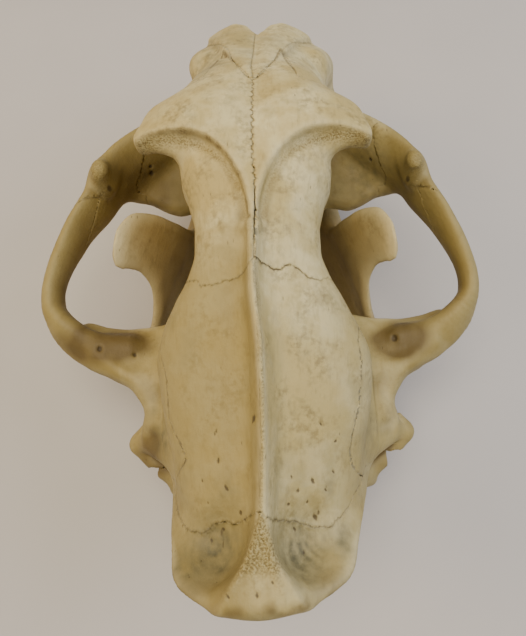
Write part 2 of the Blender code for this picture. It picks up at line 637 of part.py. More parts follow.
def cheek_tooth(x, s, z, yaw, length, width, cusps, up, root=8.0, stations=9):
    """Tooth with a row of cusps, each (place along the tooth from -1 to 1, height, half breadth).

    The section stands on the root, is widest at the gum and narrows to a cutting edge.
    """
    t = -np.cos(np.linspace(0.12, np.pi - 0.12, stations))
    rise = np.full_like(t, 1.6)
    for place, height, breadth in cusps:
        rise = np.maximum(rise, height * np.maximum(1 - np.abs(t - place) / breadth, 0) ** 0.8)
    half = width / 2 * (1 - t ** 4) ** 0.6
    across = np.array([-.75, -1, -.72, -.14, .14, .72, 1, .75])
    level = np.array([-1, 0, .5, 1, 1, .5, 0, -1])
    side = across[None] * half[:, None]
    height = np.where(level < 0, -root, level * rise[:, None])
    fore = (t * length / 2)[:, None] + 0 * side
    c, w = np.cos(np.radians(yaw)), np.sin(np.radians(yaw))
    return ringed(np.stack([x + c * side + w * fore, s - w * side + c * fore, z + up * height], -1))


def upper_teeth():
    gum = [palate(s) for s in (211, 197, 184, 162.5, 147.5)]
    tip = gum[0] - UPPER_CANINE
    teeth = [fang([(23, 199, gum[0] + 22, 3.5, 4.5), (24.2, 206, gum[0] + 10, 5.2, 6.8),
                   (25, 210.5, gum[0], 5.6, 7.4), (25.6, 212.6, gum[0] - 11, 4.8, 6),
                   (26, 211.6, tip + 14, 3.6, 4.3), (26.2, 209, tip + 6, 2.2, 2.6),
                   (26.2, 206.8, tip, .7, .8)])]
    teeth.append(cheek_tooth(25.3, 197.5, gum[1], -14, 5, 4, [(0, 4, 1.2)], -1, stations=5))
    teeth.append(cheek_tooth(29.2, 184, gum[2] - .5, -14, 17.5, 8.4,
                             [(-.1, 11, .62), (.68, 4.5, .5), (-.72, 5.5, .5)], -1))
    teeth.append(cheek_tooth(35, 162.5, gum[3] - .5, -14, 26, 8.6,
                             [(.02, 14, .5), (-.62, 10, .62), (.66, 7, .45)], -1, stations=11))
    teeth.append(cheek_tooth(30, 171.5, gum[3] - .3, 60, 9, 6, [(0, 4.5, 1.1)], -1, stations=5))
    teeth.append(cheek_tooth(31.5, 147.5, gum[4] + .5, 70, 9, 4.5, [(0, 3.4, 1.3)], -1, stations=5))
    for x, s, half, crown in ((2.4, 232.6, 1.7, 7), (6.9, 232.2, 2.1, 7.6), (11.8, 230, 2.9, 10.5)):
        z = palate(s) + 2
        teeth.append(fang([(x, s - 3, z + 7, half, 2), (x, s - .6, z, half, 2.6),
                           (x, s, z - crown * .6, half * .85, 2), (x, s - .4, z - crown, half * .5, .9)],
                          sides=6))
    return teeth


def lower_teeth():
    gum = JAW_DEPTH
    tip = gum + LOWER_CANINE
    teeth = [fang([(10.5, 207, gum - 20, 3.5, 4.5), (12.8, 213.5, gum - 9, 4.6, 6),
                   (14.6, 218.4, gum, 4.8, 6.2), (16.5, 221.8, gum + 10, 3.9, 4.8),
                   (17.8, 222.9, tip - 11, 2.9, 3.5), (18.6, 222.4, tip - 5, 1.9, 2.2),
                   (19, 221.4, tip, .6, .7)])]
    row = ((192.5, 12.5, 6.6, [(0, 7.5, .7), (-.75, 3.5, .5)]),
           (177, 18, 8, [(.05, 11, .55), (-.62, 6, .5), (.72, 4.5, .5)]),
           (157.5, 20, 8.6, [(.45, 11, .6), (-.45, 12, .6)]))
    for s, length, width, cusps in row:
        x = float(jaw_middle(s, gum)) - .4
        teeth.append(cheek_tooth(x, s, gum - 1, -18, length, width, cusps, 1))
    for x, s, half, crown in ((2.2, 226.4, 1.4, 5), (5.3, 226.2, 1.6, 5.6), (8.9, 225.2, 2.0, 6.6)):
        teeth.append(fang([(x * .9, s - 4, gum - 8, half, 1.8), (x, s - .6, gum - 1, half, 2.2),
                           (x, s, gum + crown * .6, half * .85, 1.6),
                           (x, s - .2, gum + crown, half * .5, .8)], sides=6))
    return teeth


# Blender objects

def finish_colour(name):
    material = bpy.data.materials.new(name)
    material.use_nodes = True
    shader = material.node_tree.nodes["Principled BSDF"]
    shader.inputs["Base Color"].default_value = (*BONE, 1)
    shader.inputs["Roughness"].default_value = 0.6
    shader.inputs["Metallic"].default_value = 0.0
    return material


def lean(s, z):
    """How far a point leans to the skull's right, since no real skull is quite even."""
    snout = along([(145, 0), (200, 1)], s) * along([(68, 1), (80, 0)], z)
    rear = along([(0, .25), (10, .25), (28, .85), (45, 1), (58, .9), (76, 0)], s)
    crest = along([(5, 0), (30, 1), (55, 1), (80, 0)], s) * along([(94, 0), (104, 1)], z)
    return SNOUT_LEAN * snout + REAR_LEAN * rear + CREST_LEAN * crest


def new_object(name, points, faces, side=1, collection=None):
    """Object from points in (x, s, z) millimetres; side -1 puts them on the skull's right."""
    mesh = bpy.data.meshes.new(name)
    across = points[:, 0] * side - lean(points[:, 1], points[:, 2])
    place = np.stack([across, CENTRE_S - points[:, 1], points[:, 2]], 1) * MM
    mesh.from_pydata(place.tolist(), [], [list(f) for f in faces])
    obj = bpy.data.objects.new(name, mesh)
    (collection or bpy.context.scene.collection).objects.link(obj)
    face_out(mesh)
    return obj


def face_out(mesh):
    bm = bmesh.new()
    bm.from_mesh(mesh)
    bmesh.ops.recalc_face_normals(bm, faces=bm.faces)
    bm.to_mesh(mesh)
    bm.free()


def apply_modifiers(obj):
    """Replace the object's mesh with the one that its modifiers give."""
    graph = bpy.context.evaluated_depsgraph_get()
    mesh = bpy.data.meshes.new_from_object(obj.evaluated_get(graph))
    old = obj.data
    obj.modifiers.clear()
    obj.data = mesh
    bpy.data.meshes.remove(old)


def keep_largest(obj):
    """Keep only the object's largest closed surface."""
    bm = bmesh.new()
    bm.from_mesh(obj.data)
    left, parts = set(bm.faces), []
    while left:
        part, edge = set(), [next(iter(left))]
        while edge:
            face = edge.pop()
            if face in part:
                continue
            part.add(face)
            edge.extend(f for e in face.edges for f in e.link_faces if f not in part)
        parts.append(part)
        left -= part
    largest = max(parts, key=lambda part: sum(f.calc_area() for f in part))
    loose = [f for part in parts if part is not largest for f in part]
    bmesh.ops.delete(bm, geom=loose, context="FACES")
    bm.to_mesh(obj.data)
    bm.free()


def thin_out(obj, triangles):
    obj.modifiers.new("triangles", "TRIANGULATE")
    modifier = obj.modifiers.new("fewer", "DECIMATE")
    modifier.use_collapse_triangulate = True
    modifier.ratio = triangles / (2 * len(obj.data.polygons))
    apply_modifiers(obj)


def boolean(obj, operation, other=None, collection=None, solver="EXACT"):
    modifier = obj.modifiers.new("boolean", "BOOLEAN")
    modifier.operation = operation
    modifier.solver = solver
    if collection:
        modifier.operand_type = "COLLECTION"
        modifier.collection = collection
    else:
        modifier.object = other
    apply_modifiers(obj)
    keep_largest(obj)


def remove(obj):
    mesh = obj.data
    bpy.data.objects.remove(obj)
    bpy.data.meshes.remove(mesh)


def wedge(planes, grow=0.0):
    """Closed block bounded by planes, each (normal, offset) in x, s and z: inside, n . p < offset."""
    bm = bmesh.new()
    bmesh.ops.create_cube(bm, size=0.6)
    for normal, offset in planes:
        n = Vector((normal[0], -normal[1], normal[2]))
        reach = (offset - normal[1] * CENTRE_S) / n.length + grow
        n.normalize()
        geom = bm.verts[:] + bm.edges[:] + bm.faces[:]
        cut = bmesh.ops.bisect_plane(bm, geom=geom, plane_co=n * reach * MM, plane_no=n,
                                     clear_outer=True)
        edges = [e for e in cut["geom_cut"] if isinstance(e, bmesh.types.BMEdge)]
        bmesh.ops.holes_fill(bm, edges=edges)
    bmesh.ops.recalc_face_normals(bm, faces=bm.faces)
    mesh = bpy.data.meshes.new("wedge")
    bm.to_mesh(mesh)
    bm.free()
    obj = bpy.data.objects.new("wedge", mesh)
    bpy.context.scene.collection.objects.link(obj)
    return obj


def part_off(rest, name, planes):
    """Cut the piece inside the planes off rest, with a thin gap between them."""
    piece = rest.copy()
    piece.data = rest.data.copy()
    piece.name = name
    bpy.context.scene.collection.objects.link(piece)
    for obj, operation, grow in ((piece, "INTERSECT", 0.0), (rest, "DIFFERENCE", GAP)):
        cutter = wedge(planes, grow)
        boolean(obj, operation, cutter)
        remove(cutter)
    return piece


def fuse_teeth(bone, teeth, sides):
    """Join the teeth to their bone with one union."""
    group = bpy.data.collections.new("teeth")
    bpy.context.scene.collection.children.link(group)
    for points, faces in teeth:
        for side in sides:
            new_object("tooth", points, faces, side, group)
    boolean(bone, "UNION", collection=group)
    for obj in list(group.objects):
        remove(obj)
    bpy.data.collections.remove(group)


def splay_jaw(obj, degrees):
    """Turn a half of the jaw about the chin."""
    pivot = Vector((0, CENTRE_S - JAW_PIVOT_S, 0)) * MM
    turn = Matrix.Rotation(-np.radians(degrees), 4, "Z")
    obj.data.transform(Matrix.Translation(pivot) @ turn @ Matrix.Translation(-pivot))


def flatten_foot(obj):
    """Level the points that lie on the table to within the grid's own error."""
    for vertex in obj.data.vertices:
        if vertex.co.z < 0.12 * MM:
            vertex.co.z = 0.0


def build_cranium():
    points, faces = surface(cranium_form(GRID), mirrored=True)
    braincase_bones = new_object("braincase", points, faces)
    thin_out(braincase_bones, CRANIUM_TRIANGLES)
    keep_largest(braincase_bones)
    for name, side in (("zygomatic_left", 1), ("zygomatic_right", -1)):
        part_off(braincase_bones, name, [((-side, -.35, 0), -46.5 - .35 * 140), ((0, -1, 1.19), -34.4),
                                         ((0, 1, -.4), 158 - .4 * 78), ((0, 0, -1), -46)])
    part_off(braincase_bones, "occipital", [((0, 1, .3), 20 + .3 * 92)])
    face = part_off(braincase_bones, "muzzle", [((0, -1, .72), -126 + .72 * 46)])
    part_off(braincase_bones, "frontal", [((0, -1, -.15), -85 - .15 * 100), ((1, 0, 0), 50),
                                          ((-1, 0, 0), 50)])
    for name, side in (("temporal_left", 1), ("temporal_right", -1)):
        part_off(braincase_bones, name, [((-side, 0, 0), -27.5)])
    fuse_teeth(face, upper_teeth(), (1, -1))


def build_jaw():
    points, faces = surface(jaw_form(GRID))
    for name, side in (("mandible_left", 1), ("mandible_right", -1)):
        bone = new_object(name, points, faces, side)
        thin_out(bone, JAW_TRIANGLES)
        keep_largest(bone)
        fuse_teeth(bone, lower_teeth(), (side,))
        flatten_foot(bone)
        splay_jaw(bone, JAW_SPLAY if side > 0 else 0.0)


def main():
    for obj in list(bpy.data.objects):
        bpy.data.objects.remove(obj)
    build_cranium()
    build_jaw()
    for obj in bpy.data.objects:
        obj.data.materials.clear()
        obj.data.materials.append(finish_colour(obj.name))
        obj.data.shade_smooth()


main()
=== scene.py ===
# %% [markdown]
# # A leopard's skull, bone by bone
# The object is the cleaned skull of a big cat, life size, with its lower jaw in place. A physics
# model of it, with plain faceted bones, is loaded as a fixed frame. Every cell after that makes one
# thing for the fine, visible skull: its shape, its sutures, its teeth or its finish.
# Lengths are in millimetres until a mesh is written. x runs from the mid plane to a side, s runs
# forward from the back of the skull, and z runs up from the table.

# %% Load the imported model
import bmesh
import bpy
import math
import numpy as np
from mathutils import Matrix, Vector


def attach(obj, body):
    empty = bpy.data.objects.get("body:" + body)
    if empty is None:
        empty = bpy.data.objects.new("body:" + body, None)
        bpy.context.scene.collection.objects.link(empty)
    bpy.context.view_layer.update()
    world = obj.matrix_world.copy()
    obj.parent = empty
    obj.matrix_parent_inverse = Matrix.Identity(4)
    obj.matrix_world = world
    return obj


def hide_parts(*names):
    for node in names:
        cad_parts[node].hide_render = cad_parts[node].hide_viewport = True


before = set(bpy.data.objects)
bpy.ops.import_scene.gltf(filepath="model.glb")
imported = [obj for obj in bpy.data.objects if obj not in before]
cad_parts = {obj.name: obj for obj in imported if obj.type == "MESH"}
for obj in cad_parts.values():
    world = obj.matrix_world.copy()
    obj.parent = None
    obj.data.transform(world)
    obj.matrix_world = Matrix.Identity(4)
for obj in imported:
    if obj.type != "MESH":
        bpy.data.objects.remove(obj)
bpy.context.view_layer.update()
MM = 0.001
CENTRE_S = 117.0            # the s that lies over the origin
print("bones in the frame:", ", ".join(sorted(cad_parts)))

# %% [markdown]
# ## Camera
# The photograph looks down on the skull from behind and above, from only 23 cm over the table, so
# the back of the skull is large and the snout small. Both follow from the camera's place and its
# wide lens. They were found by matching landmarks of the skull, such as the tips over the eyes.

# %% Camera at the photograph's angle
EYE_MM = (-10.0, 91.1, 232.7)
LOOK_DOWN = 66.19           # degrees below the horizon
TURN, ROLL = -4.605, 2.064  # degrees about the vertical and about the lens's axis
FOCAL_PX = 507.8
IMAGE_WIDTH_PX, IMAGE_HEIGHT_PX = 526, 636
CENTRE_PX = (307.4, 270.4)  # where the lens's axis meets the picture


def make_camera():
    data = bpy.data.cameras.new("photo_camera")
    data.lens = data.sensor_width * FOCAL_PX / IMAGE_HEIGHT_PX
    data.shift_x = (IMAGE_WIDTH_PX / 2 - CENTRE_PX[0]) / IMAGE_HEIGHT_PX
    data.shift_y = (CENTRE_PX[1] - IMAGE_HEIGHT_PX / 2) / IMAGE_HEIGHT_PX
    data.clip_start = 0.01
    camera = bpy.data.objects.new("photo_camera", data)
    bpy.context.scene.collection.objects.link(camera)
    turn = (Matrix.Rotation(math.radians(180 + TURN), 4, "Z")
            @ Matrix.Rotation(math.radians(90 - LOOK_DOWN), 4, "X")
            @ Matrix.Rotation(math.radians(ROLL), 4, "Z"))
    camera.matrix_world = Matrix.Translation(Vector(EYE_MM) * MM) @ turn
    bpy.context.scene.camera = camera
    return camera


camera = make_camera()
print("camera at", [round(v, 3) for v in camera.location], "lens", round(camera.data.lens, 2), "mm")

# %% [markdown]
# ## Shapes as distances
# Bone has no edges to extrude from: braincase, arches and crests flow into each other. A mesh that
# is pushed about by hand loses its evenness there, and a surface of two parameters can't branch.
# So each simple body is written as a distance to its surface, worked out as one whole array over a
# grid of points. Taking the smaller of two distances joins two bodies, and rounding that choice
# melts them together as bone does. The skin is then read off where the distance is zero.

# %% Melting two distances, and curves through knots


def melt(a, b, k):
    """The smaller of two distances, rounded where they differ by less than k."""
    if k <= 0:
        return np.minimum(a, b)
    near = np.maximum(k - np.abs(a - b), 0) / k
    return np.minimum(a, b) - near * near * k / 4


def meet(a, b, k):
    """The larger of two distances, rounded in the same way."""
    return -melt(-a, -b, k)


def along(knots, s):
    """A curve through (s, value) knots that never overshoots them, and is flat past its ends."""
    x, y = np.asarray(knots, float).T
    h = np.diff(x)
    slope = np.diff(y) / h
    m = np.concatenate([slope[:1], np.zeros(len(x) - 2), slope[-1:]])
    w1, w2 = 2 * h[1:] + h[:-1], h[1:] + 2 * h[:-1]
    for i in np.flatnonzero(slope[:-1] * slope[1:] > 0):
        m[i + 1] = (w1[i] + w2[i]) / (w1[i] / slope[i] + w2[i] / slope[i + 1])
    s = np.clip(s, x[0], x[-1])
    i = np.clip(np.searchsorted(x, s, side="right") - 1, 0, len(x) - 2)
    t = (s - x[i]) / h[i]
    return ((1 + 2 * t) * (1 - t) ** 2 * y[i] + t * (1 - t) ** 2 * h[i] * m[i]
            + t * t * (3 - 2 * t) * y[i + 1] + t * t * (t - 1) * h[i] * m[i + 1])


def curve_through(points, per=4, closed=False):
    """Catmull-Rom curve through points, with per steps from one to the next."""
    p = np.asarray(points, float)
    n = len(p)
    if closed:
        ring = np.vstack([p[-1:], p, p[:2]])
        u = np.arange(n * per) / per
    else:
        ring = np.vstack([2 * p[0] - p[1], p, 2 * p[-1] - p[-2], p[-1]])
        u = np.arange((n - 1) * per + 1) / per
    i = u.astype(int)
    t = (u - i)[:, None]
    a, b, c, d = (ring[np.minimum(i + k, len(ring) - 1)] for k in range(4))
    ease = 0.42
    m1, m2 = ease * (c - a), ease * (d - b)
    return ((2 * t**3 - 3 * t**2 + 1) * b + (t**3 - 2 * t**2 + t) * m1
            + (3 * t**2 - 2 * t**3) * c + (t**3 - t**2) * m2)


def outline_distance(a, b, points):
    """Distance in a plane to a closed outline, negative inside it."""
    best = np.full(np.broadcast(a, b).shape, 1e9, np.float32)
    inside = np.zeros(best.shape, bool)
    for (ax, ay), (bx, by) in zip(points, np.roll(points, -1, 0)):
        ex, ey = bx - ax, by - ay
        t = np.clip(((a - ax) * ex + (b - ay) * ey) / (ex * ex + ey * ey + 1e-12), 0, 1)
        best = np.minimum(best, (a - ax - t * ex) ** 2 + (b - ay - t * ey) ** 2)
        if ay != by:
            inside ^= ((ay > b) != (by > b)) & (a < (bx - ax) * (b - ay) / (by - ay) + ax)
    return np.where(inside, -1, 1) * np.sqrt(best)


print("a melt of 1 and 1 mm over 4 mm gives", float(melt(np.float64(1), np.float64(1), 4)), "mm")

# %% [markdown]
# ## Four simple bodies
# A ball is an ellipsoid. A rod follows a curve with an oval section. A hull has a superellipse
# section that changes along the skull. A plate has a drawn outline and two faces. Each returns the
# corners of the box that it fills and its distance, so that only that box has to be worked out.

# %% Ball and rod
NEAR_ROD = 8                # mm from a rod's skin within which its distance is worked out


def ball(centre, radii, turn=0.0, tip=0.0):
    """Ellipsoid, turned about z and then tipped about x, in degrees."""
    c, r = np.asarray(centre, float), np.asarray(radii, float)
    ct, st, cp, sp = (f(np.radians(v)) for v in (turn, tip) for f in (np.cos, np.sin))
    about_z = np.array([[ct, -st, 0], [st, ct, 0], [0, 0, 1]])
    about_x = np.array([[1, 0, 0], [0, cp, -sp], [0, sp, cp]])
    m = about_x @ about_z
    reach = np.sqrt(((m * r) ** 2).sum(1))

    def distance(x, s, z):
        p = (x - c[0], s - c[1], z - c[2])
        own = [sum(m[j, i] * p[j] for j in range(3)) for i in range(3)]
        k0 = np.sqrt(sum((v / w) ** 2 for v, w in zip(own, r)))
        k1 = np.sqrt(sum((v / w ** 2) ** 2 for v, w in zip(own, r))) + 1e-6
        return k0 * (k0 - 1) / k1
    return c - reach, c + reach, distance


def rod(points):
    """Rod on a curve. A point is x, s, z and the half width, and then, where they aren't that width
    and straight up, the half height and its direction."""
    rows = [[*p[:4], p[4] if len(p) > 4 else p[3], *(p[5] if len(p) > 5 else (0, 0, 1))]
            for p in points]
    p = curve_through(rows)
    widest = p[:, 3:5].max()

    def distance(x, s, z):
        best = np.full(np.broadcast(x, s, z).shape, 1e3, np.float32)
        axes = (x.ravel(), s.ravel(), z.ravel())
        for q0, q1 in zip(p[:-1], p[1:]):
            reach = max(*q0[3:5], *q1[3:5]) + NEAR_ROD
            low, high = np.minimum(q0[:3], q1[:3]) - reach, np.maximum(q0[:3], q1[:3]) + reach
            cut = tuple(slice(*np.searchsorted(a, [l, h])) for a, l, h in zip(axes, low, high))
            X, S, Z = axes[0][cut[0], None, None], axes[1][None, cut[1], None], axes[2][cut[2]]
            if 0 in (X.size, S.size, Z.size):
                continue
            e = q1[:3] - q0[:3]
            t = ((X - q0[0]) * e[0] + (S - q0[1]) * e[1] + (Z - q0[2]) * e[2]) / (e @ e + 1e-9)
            t = np.clip(t, 0, 1)
            d = (X - q0[0] - t * e[0], S - q0[1] - t * e[1], Z - q0[2] - t * e[2])
            wide, tall = q0[3] + t * (q1[3] - q0[3]), q0[4] + t * (q1[4] - q0[4])
            up = (q0[5:8] + q1[5:8]) / 2
            up = up - e * (up @ e) / (e @ e + 1e-9)
            up = up / (np.linalg.norm(up) + 1e-9)
            rise = sum(v * w for v, w in zip(d, up))
            side2 = np.maximum(sum(v * v for v in d) - rise * rise, 0)
            k0 = np.sqrt(side2 / wide ** 2 + (rise / tall) ** 2)
            k1 = np.sqrt(side2 / wide ** 4 + rise * rise / tall ** 4) + 1e-6
            best[cut] = np.minimum(best[cut], k0 * (k0 - 1) / k1)
        return best
    return p[:, :3].min(0) - widest, p[:, :3].max(0) + widest, distance


def show(label, body):
    """Print the box that a body fills, in (x, s, z)."""
    print(label, "from", np.round(body[0], 1).tolist(), "to", np.round(body[1], 1).tolist())


show("a ball of 10 mm goes", ball((0, 0, 0), (10, 10, 10)))

# %% Hull and plate


def hull(width, top, bottom, power):
    """Body along s with a superellipse section: half width, top and bottom are (s, value) knots."""
    width, top, bottom = (np.asarray(k, float) for k in (width, top, bottom))
    s0, s1 = width[0, 0], width[-1, 0]
    power = power if isinstance(power, list) else [(s0, power), (s1, power)]

    def distance(x, s, z):
        w, t, b, p = along(width, s), along(top, s), along(bottom, s), along(power, s)
        h, c = (t - b) / 2, (t + b) / 2
        qx, qz = np.abs(x / w), np.abs((z - c) / h)
        k0 = (qx ** p + qz ** p + 1e-9) ** (1 / p)
        steep = np.sqrt((qx ** (p - 1) / w) ** 2 + (qz ** (p - 1) / h) ** 2)
        d = (k0 - 1) / (steep * np.maximum(k0, 0.05) ** (1 - p) + 1e-4)
        d = np.maximum(d, -np.minimum(w, h))
        return meet(d, np.maximum(s0 - s, s - s1) + 0 * d, 3.0)
    low = (-width[:, 1].max(), s0, bottom[:, 1].min())
    return np.array(low), np.array((width[:, 1].max(), s1, top[:, 1].max())), distance


def plate(outline, lower, upper, span, seen="above", edge=1.5):
    """Plate with a closed outline seen from above (x, s) or from the side (s, z).

    lower and upper give its two faces over that outline, span the range that they keep to,
    and edge how far its rim is rounded.
    """
    p = curve_through(outline, closed=True)
    i, j, n = (0, 1, 2) if seen == "above" else (1, 2, 0)
    low, high = np.empty(3), np.empty(3)
    low[[i, j]], high[[i, j]] = p.min(0), p.max(0)
    low[n], high[n] = span

    def distance(*c):
        flat = meet(c[n] - upper(c[i], c[j]), lower(c[i], c[j]) - c[n], edge)
        return meet(flat, outline_distance(c[i], c[j], p) + 0 * flat, edge)
    return low, high, distance


show("a hull 10 mm wide goes", hull([(0, 5), (20, 5)], [(0, 4), (20, 4)], [(0, -4), (20, -4)], 2.0))

# %% A form on a grid of distances
FAR = 20.0                  # mm, the distance where no body is near


class Form:
    """A solid melted together on a grid of distances."""

    def __init__(self, low, high, step):
        self.step = step
        self.axes = [np.arange(np.floor(a / step), np.ceil(b / step) + 1) * step
                     for a, b in zip(low, high)]
        self.distance = np.full([len(a) for a in self.axes], FAR, np.float32)

    def change(self, body, rule, k):
        low, high, distance = body
        cut = []
        for axis, a, b in zip(self.axes, low, high):
            i, j = np.searchsorted(axis, [a - k - 3 * self.step, b + k + 3 * self.step])
            cut.append(slice(i, j))
        x, s, z = (a[c] for a, c in zip(self.axes, cut))
        d = distance(x[:, None, None], s[None, :, None], z[None, None, :])
        self.distance[tuple(cut)] = rule(self.distance[tuple(cut)], d.astype(np.float32), k)

    def join(self, body, k=0.0):
        self.change(body, melt, k)

    def carve(self, body, k=0.0):
        self.change(body, lambda a, d, k: meet(a, -d, k), k)

    def trim(self, distance):
        """Keep what lies where distance(x, s, z) is negative."""
        x, s, z = self.axes
        d = distance(x[:, None, None], s[None, :, None], z[None, None, :])
        self.distance = np.maximum(self.distance, d.astype(np.float32))


trial = Form((-6, -6, -6), (6, 6, 6), 1.0)
trial.join(ball((0, 0, 0), (4, 4, 4)))
print("a ball of 4 mm fills", int((trial.distance < 0).sum()), "points of a 1 mm grid")

# %% [markdown]
# ## The cranium's dimensions
# No ruler lies in the photograph, so the size is that of the species: a male leopard's skull of
# 235 mm. The other dimensions follow from the picture's proportions.

# %% Driving dimensions
SKULL_LENGTH = 235.0        # nuchal crest to the front of the premaxilla
ARCH_WIDTH = 155.0          # across the zygomatic arches
BRAINCASE_WIDTH = 67.0
MUZZLE_WIDTH = 55.0         # across the roots of the canines
PROCESS_WIDTH = 71.0        # across the postorbital processes
CREST_HEIGHT = 111.0        # top of the sagittal crest above the table
PALATE_HEIGHT = 46.0        # hard palate above the table, at the carnassial teeth
PALATE_SLOPE = 0.07         # fall of the palate towards the front, mm per mm
JAW_DEPTH = 31.0            # depth of the jaw's body under the carnassial teeth
JAW_JOINT = (44.0, 72.0, 47.0)
CONDYLE_RADIUS = 5.4
UPPER_CANINE = 37.0         # crown heights
LOWER_CANINE = 30.0
JAW_SPLAY = 1.0             # degrees that the left half of the jaw stands further out
JAW_PIVOT_S = 226.0         # about the chin
SNOUT_LEAN = 1.0            # how far the snout, the rear and the crest lean to the skull's right
REAR_LEAN = 1.4
CREST_LEAN = 0.4            # beyond the rear's own
GAP = 0.3                   # between the halves of the jaw
print("skull", SKULL_LENGTH, "mm long and", ARCH_WIDTH, "mm across its cheek arches")

# %% Braincase, skull base and back


def palate(s):
    """Height of the hard palate."""
    return PALATE_HEIGHT - PALATE_SLOPE * (s - 150)


def braincase():
    half = BRAINCASE_WIDTH / 2
    width = [(s, half * share) for s, share in (
        (6, 0.30), (12, 0.47), (20, 0.63), (30, 0.78), (42, 0.89), (55, 0.97), (64, 1.0),
        (72, 0.935), (80, 0.81), (88, 0.665), (95, 0.59), (102, 0.585), (110, 0.64), (124, 0.72))]
    top = [(6, 82), (14, 84), (24, 87.5), (38, 91.5), (52, 95.5), (66, 98.5), (80, 101), (104, 106.5),
           (124, 109)]
    bottom = [(6, 60), (14, 52), (24, 48), (40, 46), (60, 47), (74, 51), (84, 57), (104, 72),
              (124, 78)]
    return hull(width, top, bottom, [(6, 2.0), (60, 2.05), (95, 2.5), (124, 2.6)])


def skull_base():
    """Floor of the braincase, from the foramen magnum to the palate."""
    width = [(22, 15), (40, 14), (70, 15), (90, 12), (105, 11), (125, 12), (140, 15), (150, 18)]
    top = [(22, 70), (60, 70), (100, 90), (150, 95)]
    bottom = [(22, 47), (40, 44.5), (60, 45.5), (80, 47.5), (100, 49), (150, 48)]
    return hull(width, top, bottom, 3.0)


def occiput():
    width = [(7, 14), (12, 18), (22, 23), (32, 25)]
    top = [(7, 88), (12, 87), (32, 88)]
    bottom = [(7, 74), (11, 62), (16, 52), (24, 46), (32, 45)]
    return hull(width, top, bottom, 2.3)


def condyles():
    """The rounded seats on either side of the foramen magnum."""
    return [ball((11.5, 25.5, 50.5), (8, 7.5, 9.5), turn=-25, tip=20), ball((6, 31, 46.5), (7, 9, 4.5))]


show("braincase", braincase())

# %% [markdown]
# ## Crests and processes
# The sagittal crest is the keel that a big cat's jaw muscles pull on. It spreads to a triangle at
# the back, where it meets the collar of the nuchal crest. Both are thin bodies melted on.

# %% Crests and ear region


def sagittal_crest():
    """Thin keel on the mid plane, spreading to a triangle at the back."""
    top = [(0, 95), (12, 96.5), (25, 100.3), (40, 105), (55, 109), (68, CREST_HEIGHT),
           (80, CREST_HEIGHT + 0.4), (92, 109.8)]
    outline = [(92, 84), (96, 108), (90, 110.2), (80, CREST_HEIGHT + 0.4), (68, CREST_HEIGHT),
               (55, 109), (40, 105), (25, 100.3), (12, 96.5), (4, 94.5), (3, 91), (10, 78), (40, 80)]

    def half(s, z):
        flat = along([(2, 9), (8, 6.3), (14, 3.4), (20, 1.9), (26, 1.3), (96, 1.2)], s)
        return flat + 0.14 * np.maximum(along(top, s) - z, 0) ** 1.2
    return plate(outline, lambda s, z: -half(s, z), half, (-14, 14), seen="side", edge=1.2)


def nuchal_crest():
    """Collar round the back of the skull, from the mid plane down to the ear."""
    rim = [(-6, 5.4, 90.4, 2.2, 4.5, (0, .75, -.66)), (0, 4.2, 91.4, 2.4, 4.5, (0, .75, -.66)),
           (6, 5.2, 90, 2.2, 4.5, (0, .75, -.66)), (12.8, 6.7, 87.1, 2.0, 5, (-.3, .7, -.6)),
           (17.7, 9.3, 83.3, 1.9, 5.5, (-.6, .6, -.5)), (19.8, 14, 78.5, 1.9, 5.3, (-.8, .5, -.35)),
           (21.4, 19, 73, 2.0, 5.2, (-.9, .4, -.3)), (23.2, 24.2, 66.5, 2.2, 4.9, (-.95, .3, -.2)),
           (25.6, 29.3, 59.5, 2.4, 4.5, (-.9, .3, 0)), (28.5, 34, 53, 2.6, 4, (-.8, .4, .2))]
    return rod(rim)


def mastoid():
    return rod([(26, 40, 58, 6.5), (34, 42.5, 52, 5), (41, 44.8, 46.5, 3.8), (47.4, 45, 41.8, 3.2)])


def mastoid_foot():
    """Rugged lower edge from the mastoid's tip round to the paroccipital process."""
    return rod([(44.6, 49.3, 43.5, 2.6), (47.3, 45.2, 41.6, 3.2), (44.4, 41.7, 41, 3.2),
                (41, 38.8, 40.5, 3.4), (37.4, 36, 40, 3.7), (32.5, 34, 40, 4), (26, 35, 43, 5)])


def paroccipital():
    return rod([(23.5, 33, 50, 5), (29.5, 31, 42, 4.2), (34.2, 30, 35.8, 2.6)])


def ear_bulla():
    return ball((22.5, 47, 40), (10.5, 17, 12.5), turn=-14)


show("nuchal crest", nuchal_crest())

# %% Jaw socket and the shelf behind it


def squamosal():
    """Shelf between the braincase, the arch's root and the mastoid."""
    outline = [(20, 84), (38, 83), (44, 80), (44, 62), (40, 56), (40, 48), (34, 44), (22, 36)]

    def top(x, s):
        return 62 - 0.34 * np.maximum(x - 28, 0) - 0.12 * np.maximum(s - 60, 0)
    return plate(outline, lambda x, s: 44 + 0 * x * s, top, (42, 66), edge=4)


def shelf_ridge():
    """Sharp rim from the back of the arch to the mastoid."""
    return rod([(58, 72.5, 57.5, 2, 4.5), (52, 68.5, 57, 2, 5), (46, 64, 55.5, 2, 5),
                (42, 58, 53.5, 2, 5), (40.8, 53, 51.5, 2, 4.5), (42.2, 48.5, 49.5, 2, 4.2),
                (41.3, 44.5, 48.5, 2, 3.8), (36, 41.5, 50, 2.2, 3.6), (29, 37, 54, 2.4, 3.8)])


def jaw_socket():
    """Plate over the jaw joint."""
    outline = [(28, 82.5), (40, 83.8), (50, 84.2), (58, 85.5), (66, 88), (70, 84), (66, 75),
               (60, 69), (50, 65), (36, 62), (26, 66)]

    def top(x, s):
        return 60.5 - 0.33 * np.maximum(s - 66, 0) - 0.03 * (x - 40)
    return plate(outline, lambda x, s: top(x, s) - 6.5, top, (44, 64), edge=3)


